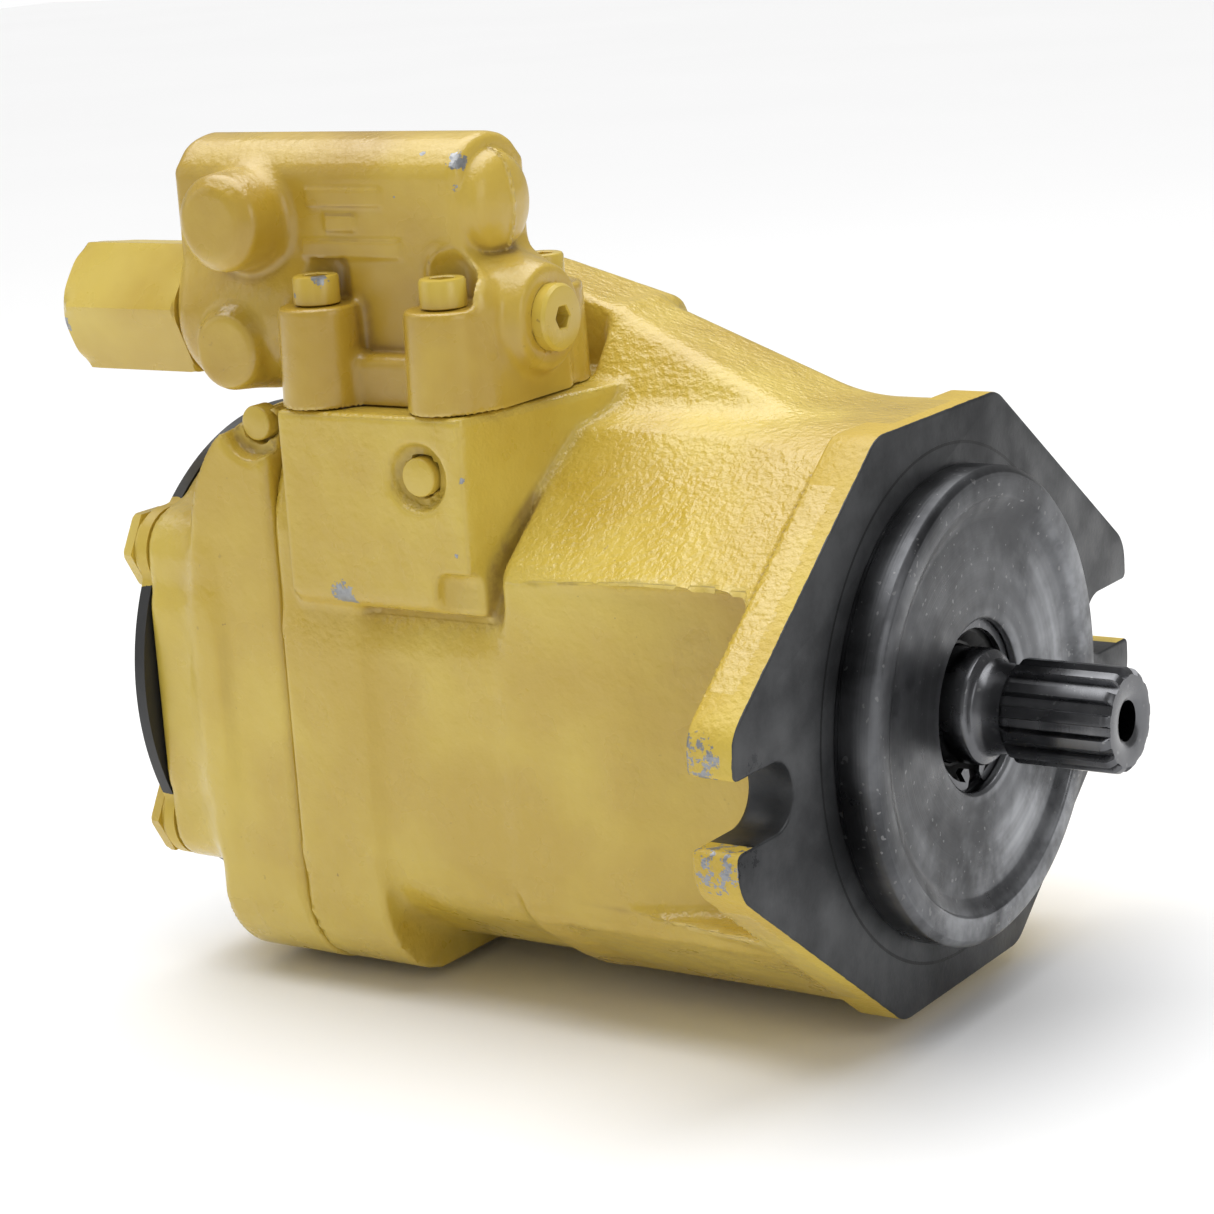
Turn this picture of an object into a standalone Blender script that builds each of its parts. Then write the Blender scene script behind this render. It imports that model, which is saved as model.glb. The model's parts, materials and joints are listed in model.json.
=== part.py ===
"""Axial piston pump: two-bolt flange, splined shaft, swash-plate rotating group, control valve on top.

Frame: the shaft runs along X and its drive end points to +X. The mounting face is X = 0, and +Z is up.
Every size below is in millimetres; meshes are written in metres.
"""

import math

import bmesh
import bpy
from mathutils import Matrix, Vector

MM = 0.001
GAP = 0.3  # clearance between neighbouring pieces

# Mounting flange and pilot
FLANGE_BACK = -11.0
FLANGE_CORNERS = [(26.5, 62.3, 12.0), (87.5, 16.0, 10.0)]  # half width, half height, corner radius
SLOT_Y = 73.0
SLOT_R = 7.15
PILOT_R = 50.8
PILOT_X = 9.5

# Housing casting
SPLIT_X = -136.0
SIDE_Y = 54.0
BODY_CORNERS = [(22.0, 62.0, 6.0), (54.0, 33.0, 6.0), (54.0, -40.0, 9.0), (23.0, -62.0, 9.0)]
REAR_CORNERS = [(18.0, 57.0, 6.0), (53.6, 25.0, 8.0), (53.6, -39.7, 9.0), (22.8, -61.6, 9.0)]
STEP_X = -76.0
RIM_X = -114.0
CAVITY_R = 42.0
PIVOT_X = -60.0
TROUGH_R = 32.5
PAD_TOP = 68.0

# Rotating group
PISTONS = 9
PISTON_CIRCLE_R = 25.0
PISTON_R = 7.3
BALL_R = 4.3
SLIPPER_R = 8.0
SWASH_FACE_X = -54.0
SWASH_R = 30.0
BLOCK_R = 36.0
BLOCK_FRONT_X = -80.0
BLOCK_REAR_X = -131.4
SHAFT_END_X = 41.0
SPLINE_TEETH = 13
SPLINE_R = 11.1
SPLINE_ROOT_R = 9.55

# End bolts, which clamp the cover, the port plate and the housing
BOLT_YZ = [(-43.0, 31.5), (43.0, 31.5), (43.0, -31.5), (-43.0, -31.5)]
BOLT_R = 5.0
EAR_R = 9.6

# Control valve
VALVE_Y = -31.0
VALVE_BORE_Z = 85.3
VALVE_BORE_R = 7.0
VALVE_TOP = 124.0
SCREW_XY = [(-122.0, -49.0), (-88.5, -49.0), (-88.5, -13.0), (-122.0, -13.0)]
BOSS_TOP = 88.0

# Stroking piston (above the shaft) and bias spring (below it)
STROKE_YZ = (20.0, 56.0)
BIAS_YZ = (0.0, -51.0)

COLOURS = {
    "yellow_paint": ((0.60, 0.42, 0.11), 0.0, 0.45),
    "dark_steel": ((0.035, 0.035, 0.04), 0.8, 0.40),
    "bright_steel": ((0.42, 0.42, 0.43), 1.0, 0.28),
    "bronze": ((0.42, 0.26, 0.10), 1.0, 0.35),
    "black_rubber": ((0.015, 0.015, 0.016), 0.0, 0.65),
}


def clear_scene():
    for obj in list(bpy.data.objects):
        bpy.data.objects.remove(obj, do_unlink=True)


def material(name):
    found = bpy.data.materials.get(name)
    if found:
        return found
    colour, metallic, roughness = COLOURS[name]
    made = bpy.data.materials.new(name)
    made.use_nodes = True
    shader = made.node_tree.nodes["Principled BSDF"]
    shader.inputs["Base Color"].default_value = (*colour, 1.0)
    shader.inputs["Metallic"].default_value = metallic
    shader.inputs["Roughness"].default_value = roughness
    return made


def collection(name, helper=False):
    found = bpy.data.collections.get(name)
    if not found:
        found = bpy.data.collections.new(name)
        found.hide_render = helper
        bpy.context.scene.collection.children.link(found)
    return found


def finish_object(name, shape, slot):
    """Link a bmesh in millimetres as a part, or as a hidden cutter when slot is None."""
    bmesh.ops.recalc_face_normals(shape, faces=shape.faces)
    bmesh.ops.scale(shape, vec=(MM, MM, MM), verts=shape.verts)
    mesh = bpy.data.meshes.new(name)
    shape.to_mesh(mesh)
    shape.free()
    obj = bpy.data.objects.new(name, mesh)
    if slot:
        mesh.materials.append(material(slot))
        collection("axial_piston_pump").objects.link(obj)
    else:
        obj.display_type = "WIRE"
        obj.hide_render = True
        collection("cutters", helper=True).objects.link(obj)
    return obj


def placed(axis, along, a, b):
    """A point from its distance along an axis and its two coordinates across it, in X, Y, Z order."""
    if axis == "X":
        return (along, a, b)
    if axis == "Y":
        return (a, along, b)
    return (a, b, along)


def prism(name, outline, lo, hi, slot=None, axis="X"):
    """A closed outline, extruded along an axis."""
    shape = bmesh.new()
    rings = [[shape.verts.new(placed(axis, at, a, b)) for a, b in outline] for at in (lo, hi)]
    shape.faces.new(rings[0][::-1])
    shape.faces.new(rings[1])
    for i in range(len(outline)):
        j = (i + 1) % len(outline)
        shape.faces.new((rings[0][i], rings[0][j], rings[1][j], rings[1][i]))
    return finish_object(name, shape, slot)


def box(name, xs, ys, zs, slot=None):
    outline = [(ys[0], zs[0]), (ys[1], zs[0]), (ys[1], zs[1]), (ys[0], zs[1])]
    return prism(name, outline, xs[0], xs[1], slot)


def lathe(name, profile, slot=None, steps=32, centre=(0.0, 0.0), axis="X", closed_ring=False):
    """A profile of (distance along, radius) turned about a line parallel to an axis.

    An open profile starts and ends at radius zero. A ring's profile is a closed loop.
    """
    shape = bmesh.new()
    rings = []
    for along, radius in profile:
        count = steps if radius > 0 else 1
        turns = [2 * math.pi * k / steps for k in range(count)]
        points = [(centre[0] + radius * math.cos(t), centre[1] + radius * math.sin(t)) for t in turns]
        rings.append([shape.verts.new(placed(axis, along, a, b)) for a, b in points])
    pairs = list(zip(rings, rings[1:]))
    if closed_ring:
        pairs.append((rings[-1], rings[0]))
    for first, second in pairs:
        skin_between(shape, first, second, steps)
    return finish_object(name, shape, slot)


def skin_between(shape, first, second, steps):
    for k in range(steps):
        n = (k + 1) % steps
        corners = [first[k % len(first)], first[n % len(first)]]
        corners += [second[n % len(second)], second[k % len(second)]]
        unique = list(dict.fromkeys(corners))
        if len(unique) > 2:
            shape.faces.new(unique)


def cylinder(name, lo, hi, radius, centre=(0.0, 0.0), slot=None, steps=24, axis="X"):
    profile = [(lo, 0.0), (lo, radius), (hi, radius), (hi, 0.0)]
    return lathe(name, profile, slot, steps, centre, axis)


def ring(name, lo, hi, inner, outer, slot=None, steps=32, centre=(0.0, 0.0), axis="X"):
    profile = [(lo, inner), (lo, outer), (hi, outer), (hi, inner)]
    return lathe(name, profile, slot, steps, centre, axis, closed_ring=True)


def hull(name, points, slot=None):
    shape = bmesh.new()
    for point in points:
        shape.verts.new(point)
    bmesh.ops.convex_hull(shape, input=shape.verts)
    bmesh.ops.dissolve_limit(shape, angle_limit=0.002, verts=shape.verts, edges=shape.edges)
    return finish_object(name, shape, slot)


def boolean(target, other, operation):
    modifier = target.modifiers.new(other.name, "BOOLEAN")
    modifier.operation = operation
    modifier.solver = "EXACT"
    modifier.object = other


def cut(target, *others):
    for other in others:
        boolean(target, other, "DIFFERENCE")


def join(target, *others):
    for other in others:
        boolean(target, other, "UNION")


def keep_common(target, other):
    boolean(target, other, "INTERSECT")


def merge_flats(obj):
    """Weld points closer than 0.02 mm, then merge faces that lie in one plane."""
    weld = obj.modifiers.new("weld", "WELD")
    weld.merge_threshold = 0.02 * MM
    flats = obj.modifiers.new("merge_flats", "DECIMATE")
    flats.decimate_type = "DISSOLVE"
    flats.angle_limit = math.radians(0.2)


def rounded(corners, steps=4):
    """An outline from (a, b, radius) corners, each rounded by an arc."""
    outline = []
    count = len(corners)
    for i, (a, b, radius) in enumerate(corners):
        here = Vector((a, b))
        before = (Vector(corners[i - 1][:2]) - here).normalized()
        after = (Vector(corners[(i + 1) % count][:2]) - here).normalized()
        if radius <= 0:
            outline.append((a, b))
            continue
        half = before.angle(after) / 2
        centre = here + (before + after).normalized() * radius / math.sin(half)
        start = here + before * radius / math.tan(half) - centre
        end = here + after * radius / math.tan(half) - centre
        turn = start.angle_signed(end)
        for k in range(steps + 1):
            spoke = Matrix.Rotation(-turn * k / steps, 2) @ start
            outline.append(tuple(centre + spoke))
    return outline


def mirrored(half):
    """A full outline from the corners of its +Y half, listed from top to bottom."""
    return half + [(-y, z, r) for y, z, r in reversed(half)]


def circle(radius, steps, centre=(0.0, 0.0), phase=0.0):
    turns = [phase + 2 * math.pi * k / steps for k in range(steps)]
    return [(centre[0] + radius * math.cos(t), centre[1] + radius * math.sin(t)) for t in turns]


def hexagon(across_flats, centre=(0.0, 0.0), phase=0.0):
    return circle(across_flats / math.sqrt(3.0), 6, centre, phase)


def kidney(middle_r, half_width, start, end, steps=6):
    """A curved slot about the shaft: two arcs joined by round ends. Angles are in degrees."""
    outline = []
    for k in range(steps + 1):
        t = math.radians(start + (end - start) * k / steps)
        outline.append(((middle_r + half_width) * math.cos(t), (middle_r + half_width) * math.sin(t)))
    outline += kidney_end(middle_r, half_width, math.radians(end), 1)
    for k in range(steps + 1):
        t = math.radians(end + (start - end) * k / steps)
        outline.append(((middle_r - half_width) * math.cos(t), (middle_r - half_width) * math.sin(t)))
    outline += kidney_end(middle_r, half_width, math.radians(start), -1)
    return outline


def kidney_end(middle_r, half_width, angle, side):
    centre = Vector((middle_r * math.cos(angle), middle_r * math.sin(angle)))
    points = []
    for k in (1, 2, 3):
        lean = math.pi * k / 4 if side > 0 else math.pi + math.pi * k / 4
        turn = angle + lean
        points.append((centre.x + half_width * math.cos(turn), centre.y + half_width * math.sin(turn)))
    return points


def flange_outline():
    top, side = FLANGE_CORNERS
    half = [(top[0], top[1], top[2]), (side[0], side[1], side[2])]
    half += [(side[0], -side[1], side[2]), (top[0], -top[1], top[2])]
    return rounded(mirrored(half), 5)


# ---------------------------------------------------------------- housing

def build_housing():
    """The main casting: flange, pilot, body, valve pad and stroking-piston hump."""
    rear = SPLIT_X + GAP / 2
    housing = prism("housing", flange_outline(), FLANGE_BACK, 0.0, "yellow_paint")
    join(housing, pilot(), body_front(), body_rear(rear), rear_rim(rear), valve_pad(), *hump())
    cut(housing, *flange_slots())
    cut(housing, *lug_pockets())
    cut(housing, *cavity(rear))
    cut(housing, *stroking_spaces())
    cut(housing, *housing_holes())
    return housing


def pilot():
    profile = [(-6, 0), (-6, PILOT_R), (0.4, PILOT_R), (8.3, PILOT_R), (PILOT_X, PILOT_R - 1.3)]
    profile += [(PILOT_X, 44.0), (7.0, 40.0), (7.0, 0)]
    return lathe("pilot_add", profile, steps=56)


def body_front():
    return prism("body_front_add", rounded(mirrored(BODY_CORNERS)), STEP_X, -6.0)


def body_rear(rear):
    return prism("body_rear_add", rounded(mirrored(REAR_CORNERS)), rear, STEP_X + 2.0)


def rear_rim(rear):
    corners = [(40.0, 66.0, 12.0), (SIDE_Y, 52.0, 14.0), (SIDE_Y, -64.0, 24.0)]
    return prism("rear_rim_add", rounded(mirrored(corners), 5), rear, RIM_X)


def valve_pad():
    outline = [(-57.5, 28.0), (-54.5, 25.0), (-20.0, 25.0), (0.0, 50.0), (0.0, PAD_TOP), (-57.5, PAD_TOP)]
    return prism("valve_pad_add", outline, -129.5, -81.0)


def hump():
    """The ridge over the stroking piston, which falls towards the flange and widens at its foot."""
    rear = []
    for x, top in ((-131.0, 91.0), (-108.0, 91.5), (-77.0, 81.2)):
        rear += [(x, 1.0, top), (x, 26.0, top), (x, -1.5, 50.0), (x, 46.0, 50.0), (x, 40.0, 40.0)]
    front = []
    for x, top, near, far, foot in ((-79.0, 81.9, 1.0, 25.0, -17.0), (-24.0, 62.5, 6.0, 24.0, -14.0)):
        front += [(x, near, top), (x, far, top), (x, foot, 60.0), (x, 46.0, 50.0), (x, foot, 45.0), (x, 40.0, 40.0)]
    return [hull("hump_rear_add", rear), hull("hump_front_add", front)]


def flange_slots():
    """Open bolt slots at both ends of the flange."""
    made = []
    for side in (-1, 1):
        arc = [
            (side * (SLOT_Y - SLOT_R * math.cos(t)), SLOT_R * math.sin(t))
            for t in (math.radians(-90 + 180 * k / 10) for k in range(11))
        ]
        outline = arc + [(side * 92.0, SLOT_R), (side * 92.0, -SLOT_R)]
        made.append(prism(f"slot_cut_{side}", outline, FLANGE_BACK - 4.0, 4.0))
    return made


def lug_pockets():
    """Room for the bolt heads beside the body, behind each flange lug."""
    made = []
    for side in (-1, 1):
        corners = [(-11.0, 49.0), (-38.0, 49.0), (-43.0, 54.6), (-43.0, 55.5), (-11.0, 55.5)]
        outline = [(x, side * y) for x, y in corners]
        made.append(prism(f"lug_pocket_cut_{side}", outline, -47.0, 39.0, axis="Z"))
    return made


def cavity(rear):
    """The case bore, the swash-plate trough, the bearing seat and the seal bore."""
    case = cylinder("case_cut", rear - 2.0, SWASH_FACE_X + 3.0, CAVITY_R, steps=36)
    trough = cylinder("trough_cut", -40.0, 40.0, TROUGH_R, (PIVOT_X, 0.0), steps=36, axis="Y")
    profile = [(-30.3, 0), (-30.3, 26.0), (-8.0, 26.0), (-8.0, 17.7), (3.2, 17.7), (3.2, 18.8)]
    profile += [(4.9, 18.8), (4.9, 17.7), (12.0, 17.7), (12.0, 0)]
    return [case, trough, lathe("front_bore_cut", profile, steps=32)]


def stroking_spaces():
    """Bores for the stroking piston and the bias spring, each open to the case through a slot."""
    made = []
    spaces = (("stroke", STROKE_YZ, 8.0, (25.0, 64.0)), ("bias", BIAS_YZ, 7.6, (-57.5, -25.0)))
    for name, (y, z), bore_r, slot_z in spaces:
        made.append(cylinder(f"{name}_bore_cut", -130.0, -80.0, bore_r, (y, z), steps=24))
        made.append(box(f"{name}_slot_cut", (-84.0, -44.0), (y - 8.5, y + 8.5), slot_z))
    return made


def housing_holes():
    made = []
    for i, at in enumerate(BOLT_YZ):
        made.append(cylinder(f"housing_bolt_cut_{i}", SPLIT_X - 2, -108.0, BOLT_R + 0.4, at, steps=16))
    for i, at in enumerate(SCREW_XY):
        made.append(cylinder(f"pad_screw_cut_{i}", 50.0, PAD_TOP + 2, 3.3, at, steps=12, axis="Z"))
    profile = [(-60.0, 0), (-60.0, 8.0), (-55.2, 6.8), (-55.2, 4.45), (-52.8, 4.45), (-52.8, 0)]
    made.append(lathe("side_plug_cut", profile, steps=20, centre=(-93.0, 55.0), axis="Y"))
    return made


# ---------------------------------------------------------------- port plate and cover

def trimmed_disc(radius, half_width, steps=14):
    """A disc with flats at Y = plus and minus half_width."""
    lean = math.acos(half_width / radius)
    points = []
    for start in (lean, math.pi + lean):
        for k in range(steps + 1):
            t = start + (math.pi - 2 * lean) * k / steps
            points.append((radius * math.cos(t), radius * math.sin(t)))
    return points


def build_port_plate():
    front = SPLIT_X - GAP / 2
    corners = [(SIDE_Y, 67.9, 4.0), (SIDE_Y, -64.0, 24.0)]
    plate = prism("port_plate", rounded(mirrored(corners), 5), -161.0, front, "yellow_paint")
    side = rounded([(-161.0, 72.0, 17.0), (-130.0, 72.0, 0), (-130.0, -70.0, 0), (-161.0, -70.0, 8.0)], 6)
    keep_common(plate, prism("plate_side_keep", side, -60.0, 60.0, axis="Y"))
    join(plate, prism("rear_boss_add", trimmed_disc(58.0, SIDE_Y - 0.1), -174.5, -158.0))
    for i, at in enumerate(BOLT_YZ):
        join(plate, cylinder(f"plate_ear_add_{i}", -174.5, -159.0, EAR_R, at, steps=16))
    profile = [(-134.0, 0), (-134.0, 19.0), (-158.0, 19.0), (-158.0, 16.0), (-177.0, 16.0), (-177.0, 0)]
    cut(plate, lathe("rear_bearing_cut", profile, steps=32))
    cut(plate, ring("seal_groove_cut", -138.2, -134.0, 43.6, 46.5, steps=32))
    cut(plate, ring("cover_groove_cut", -177.0, -172.6, 24.0, 27.0, steps=32))
    cut(plate, *plate_passages())
    cut(plate, *plate_holes())
    return plate


def plate_passages():
    """Two kidney passages with a pressure port at +Y and a suction port underneath."""
    far = prism("far_kidney_cut", kidney(25.0, 3.4, -52, 52), -146.0, -134.0)
    near = prism("near_kidney_cut", kidney(25.0, 3.4, 128, 232), -146.0, -134.0)
    pressure = cylinder("pressure_port_cut", 23.0, 60.0, 8.5, (-149.0, 0.0), steps=24, axis="Y")
    suction = cylinder("suction_port_cut", -70.0, -22.0, 10.5, (-149.0, -20.0), steps=24, axis="Z")
    return [far, near, pressure, suction]


def plate_holes():
    made = []
    for i, at in enumerate(BOLT_YZ):
        made.append(cylinder(f"plate_bolt_cut_{i}", -177.0, -134.0, BOLT_R + 0.4, at, steps=16))
    profile = [(-57.0, 0), (-57.0, 8.0), (-51.8, 6.6), (-51.8, 4.55), (-46.0, 4.55), (-46.0, 0)]
    made.append(lathe("plate_plug_cut", profile, steps=20, centre=(-143.0, 59.0), axis="Y"))
    return made


def build_cover():
    profile = [(-178.5, 0), (-178.5, 56.8), (-177.8, 57.5), (-174.8, 57.5), (-174.8, 0)]
    cover = lathe("cover_plate", profile, "dark_steel", steps=40)
    for i, at in enumerate(BOLT_YZ):
        join(cover, cylinder(f"cover_ear_add_{i}", -178.5, -174.8, EAR_R, at, steps=16))
        cut(cover, cylinder(f"cover_bolt_cut_{i}", -182.0, -172.0, BOLT_R + 0.4, at, steps=14))
    ring("cover_seal", -174.4, -172.9, 24.3, 26.7, "black_rubber", steps=32)
    ring("housing_seal", -137.9, -136.3, 44.1, 45.9, "black_rubber", steps=32)
    return cover


def build_end_bolts():
    """Hex bolts through the cover and the port plate into the housing."""
    for i, (y, z) in enumerate(BOLT_YZ):
        profile = [(-181.0, 0), (-181.0, BOLT_R), (-112.0, BOLT_R), (-112.0, 0)]
        bolt = lathe(f"end_bolt_{i + 1}", profile, "yellow_paint", steps=12, centre=(y, z))
        head = prism(f"end_bolt_head_{i}", hexagon(17.0, (y, z)), -182.4, -179.4)
        profile = [(-182.9, 0), (-182.9, 7.6), (-181.2, 10.5), (-178.8, 10.5), (-178.8, 0)]
        keep_common(head, lathe(f"end_bolt_dome_{i}", profile, steps=18, centre=(y, z)))
        join(bolt, head)
        join(bolt, cylinder(f"end_bolt_washer_{i}", -180.0, -178.8, 8.6, (y, z), steps=20))


def build_side_plugs():
    housing_plug = [(-56.9, 0), (-56.9, 3.7), (-56.4, 4.15), (-53.1, 4.15), (-53.1, 0)]
    lathe("housing_side_plug", housing_plug, "yellow_paint", steps=20, centre=(-93.0, 55.0), axis="Y")
    plate_plug = [(-53.4, 0), (-53.4, 3.8), (-52.9, 4.25), (-46.3, 4.25), (-46.3, 0)]
    lathe("port_plate_side_plug", plate_plug, "yellow_paint", steps=20, centre=(-143.0, 59.0), axis="Y")


# ---------------------------------------------------------------- shaft and bearings

def spline_outline():
    """Teeth of the shaft end: straight flanks between the root and tip circles."""
    outline = []
    pitch = 2 * math.pi / SPLINE_TEETH
    for tooth in range(SPLINE_TEETH):
        for share, radius in ((-0.27, SPLINE_ROOT_R), (-0.15, SPLINE_R), (0.15, SPLINE_R), (0.27, SPLINE_ROOT_R)):
            t = pitch * (tooth + share)
            outline.append((radius * math.cos(t), radius * math.sin(t)))
    return outline


def build_shaft():
    profile = [(-159.0, 0), (-159.0, 8.4), (-158.4, 9.0), (-141.0, 9.0), (-141.0, 12.0), (-26.0, 12.0)]
    profile += [(-26.0, 14.5), (-24.3, 14.5), (-24.3, 12.4), (9.0, 12.4), (9.8, 11.6), (9.8, 10.2)]
    profile += [(15.6, 9.2), (18.0, 9.2), (18.0, 0)]
    shaft = lathe("shaft", profile, "dark_steel", steps=32)
    teeth = prism("spline_add", spline_outline(), 15.8, SHAFT_END_X)
    trim = [(15.0, 0), (15.0, 9.2), (16.9, 11.4), (39.6, 11.4), (SHAFT_END_X, 9.9), (SHAFT_END_X, 0)]
    keep_common(teeth, lathe("spline_trim", trim, steps=26))
    join(shaft, teeth)
    hole = [(SHAFT_END_X + 1, 0), (SHAFT_END_X + 1, 6.0), (SHAFT_END_X - 0.8, 4.2), (24.0, 4.2), (22.0, 0)]
    cut(shaft, lathe("end_hole_cut", hole, steps=20))


def roller_ring(name, lo, hi, inner, outer, count):
    """Rollers and their cage, as one ring whose outside follows the rollers."""
    outline = []
    for k in range(count):
        for share, radius in ((-0.5, outer - 1.1), (-0.3, outer - 0.7), (-0.15, outer), (0.15, outer),
                              (0.3, outer - 0.7)):
            t = 2 * math.pi * (k + share) / count
            outline.append((radius * math.cos(t), radius * math.sin(t)))
    made = prism(name, outline, lo, hi, "bright_steel")
    cut(made, cylinder(f"{name}_cut", lo - 2, hi + 2, inner, steps=32))


def build_bearings():
    ring("front_bearing_outer", -24.0, -8.3, 22.0, 25.6, "bright_steel", steps=32)
    ring("front_bearing_inner", -24.0, -8.3, 12.8, 17.0, "bright_steel", steps=32)
    roller_ring("front_bearing_rollers", -22.5, -9.8, 17.3, 21.7, 14)
    ring("rear_bearing_outer", -157.6, -142.4, 16.4, 18.7, "bright_steel", steps=32)
    ring("rear_bearing_inner", -157.6, -142.4, 9.3, 12.8, "bright_steel", steps=32)
    roller_ring("rear_bearing_rollers", -156.0, -144.0, 13.1, 16.1, 12)


def build_seal():
    profile = [(-5.0, 12.8), (-5.0, 17.4), (2.6, 17.4), (2.6, 15.6), (0.6, 13.4), (0.6, 12.8)]
    lathe("shaft_seal", profile, "black_rubber", steps=24, closed_ring=True)
    outline = []
    for k in range(33):
        t = math.radians(-90 + 14 + (360 - 28) * k / 32)
        outline.append((18.5 * math.cos(t), 18.5 * math.sin(t)))
    outline += lug_points(math.radians(-90 - 14), 1)
    for k in range(33):
        t = math.radians(-90 - 14 - (360 - 28) * k / 32)
        outline.append((16.4 * math.cos(t), 16.4 * math.sin(t)))
    outline += lug_points(math.radians(-90 + 14), -1)
    prism("seal_retaining_ring", outline, 3.4, 4.7, "dark_steel")


def lug_points(angle, side):
    """The ear at an end of the retaining ring, from its outer to its inner edge, or back."""
    points = [(17.4, 0.06), (15.2, 0.10), (13.6, 0.06), (13.5, -0.10), (14.6, -0.17)]
    turned = [(r * math.cos(angle + side * a), r * math.sin(angle + side * a)) for r, a in points]
    return turned if side > 0 else turned[::-1]


# ---------------------------------------------------------------- rotating group

def piston_centres():
    turns = [math.pi / 2 + 2 * math.pi * k / PISTONS for k in range(PISTONS)]
    return [(PISTON_CIRCLE_R * math.cos(t), PISTON_CIRCLE_R * math.sin(t)) for t in turns]


def ball_profile(centre_x, radius, steps, last_r):
    """Half a circle from the axis on the +X side round to last_r on the -X side."""
    points = [(centre_x + radius, 0.0)]
    reach = math.pi - math.asin(last_r / radius)
    for k in range(1, steps + 1):
        t = reach * k / steps
        points.append((centre_x + radius * math.cos(t), radius * math.sin(t)))
    return points


def build_pistons():
    for i, at in enumerate(piston_centres()):
        profile = ball_profile(PIVOT_X, BALL_R, 4, 2.8)
        profile += [(-66.5, 2.8), (-68.0, PISTON_R), (-115.0, PISTON_R), (-115.0, 4.0), (-90.0, 4.0)]
        profile += [(-88.0, 0)]
        lathe(f"piston_{i + 1}", profile, "bright_steel", steps=12, centre=at)
        face = SWASH_FACE_X - GAP
        socket = [(PIVOT_X - 2.6, 3.9)]
        for k in range(1, 5):
            t = math.radians(122 - 122 * k / 4)
            socket.append((PIVOT_X + 4.7 * math.cos(t), 4.7 * math.sin(t) if k < 4 else 0.0))
        profile = [(face, 0), (face, SLIPPER_R), (face - 2.9, SLIPPER_R), (face - 2.9, 6.0)]
        profile += [(PIVOT_X - 2.6, 5.6)] + socket
        lathe(f"slipper_{i + 1}", profile, "bronze", steps=12, centre=at)


def build_block():
    profile = [(BLOCK_FRONT_X, 12.4), (BLOCK_FRONT_X, BLOCK_R - 1.5), (BLOCK_FRONT_X - 1.5, BLOCK_R)]
    profile += [(BLOCK_REAR_X + 1.0, BLOCK_R), (BLOCK_REAR_X, BLOCK_R - 1.0), (BLOCK_REAR_X, 12.4)]
    block = lathe("cylinder_block", profile, "bright_steel", steps=36, closed_ring=True)
    for i, at in enumerate(piston_centres()):
        bore = [(-78.0, 0), (-78.0, 7.6), (-124.0, 7.6), (-126.0, 3.0), (-134.0, 3.0), (-134.0, 0)]
        cut(block, lathe(f"block_bore_cut_{i}", bore, steps=12, centre=at))


def build_retainer():
    """The plate that holds the slippers to the swash plate, and the ball guide it turns on."""
    plate = cylinder("retainer_plate", -60.4, -57.8, 33.6, slot="bright_steel", steps=32)
    cut(plate, cylinder("retainer_centre_cut", -64.0, -55.0, 15.6, steps=24))
    for i, at in enumerate(piston_centres()):
        cut(plate, cylinder(f"retainer_cut_{i}", -64.0, -55.0, 6.45, at, steps=14))
    profile = [(-56.0, 12.5), (-56.0, 13.6), (-58.4, 15.1), (-61.0, 15.2), (-66.0, 13.6), (-78.0, 13.6)]
    profile += [(-78.0, 12.5)]
    lathe("retainer_ball", profile, "dark_steel", steps=20, closed_ring=True)


def build_valve_plate():
    plate = ring("valve_plate", -135.8, -131.7, 14.0, 35.0, "bronze", steps=32)
    cut(plate, prism("valve_plate_far_cut", kidney(25.0, 3.0, -56, 56), -138.0, -130.0))
    for start in (124, 163, 202):
        cut(plate, prism(f"valve_plate_near_cut_{start}", kidney(25.0, 3.0, start, start + 22, 4), -138, -130))


def build_swash_plate():
    """A half-round rocker in its trough, with arms for the stroking piston and the bias spring."""
    plate = cylinder("swash_plate", -37.0, 37.0, SWASH_R, (PIVOT_X, 0.0), "dark_steel", 48, "Y")
    keep_common(plate, box("swash_keep", (SWASH_FACE_X, 0.0), (-50.0, 50.0), (-50.0, 50.0)))
    y, z = STROKE_YZ
    join(plate, box("stroke_arm_add", (SWASH_FACE_X + 0.5, -46.0), (y - 6, y + 6), (20.0, z + 6)))
    y, z = BIAS_YZ
    join(plate, box("bias_arm_add", (SWASH_FACE_X + 0.5, -46.0), (y - 6, y + 6), (z - 5, -20.0)))
    cut(plate, cylinder("swash_hole_cut", -62.0, -20.0, 15.0, steps=32))
    for i, side in enumerate((-1, 1)):
        lo, hi = sorted((side * 18.0, side * 36.0))
        prism(f"cradle_bearing_{i + 1}", arc_strip(SWASH_R + GAP, TROUGH_R - GAP, 52, 12), lo, hi,
              "bronze", axis="Y")


def arc_strip(inner, outer, half_angle, steps):
    """A strip of a ring about the swash pivot, centred on +X."""
    turns = [math.radians(-half_angle + 2 * half_angle * k / steps) for k in range(steps + 1)]
    outside = [(PIVOT_X + outer * math.cos(t), outer * math.sin(t)) for t in turns]
    inside = [(PIVOT_X + inner * math.cos(t), inner * math.sin(t)) for t in reversed(turns)]
    return outside + inside


def build_strokers():
    profile = [(-53.9, 0), (-53.9, 2.0), (-56.5, 5.6), (-62.0, 7.6), (-128.0, 7.6), (-128.0, 5.0)]
    profile += [(-92.0, 5.0), (-90.0, 0)]
    lathe("stroking_piston", profile, "bright_steel", steps=16, centre=STROKE_YZ)
    coil("bias_spring", -129.0, -56.0, 5.2, 1.1, 6, BIAS_YZ, "bright_steel")


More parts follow.
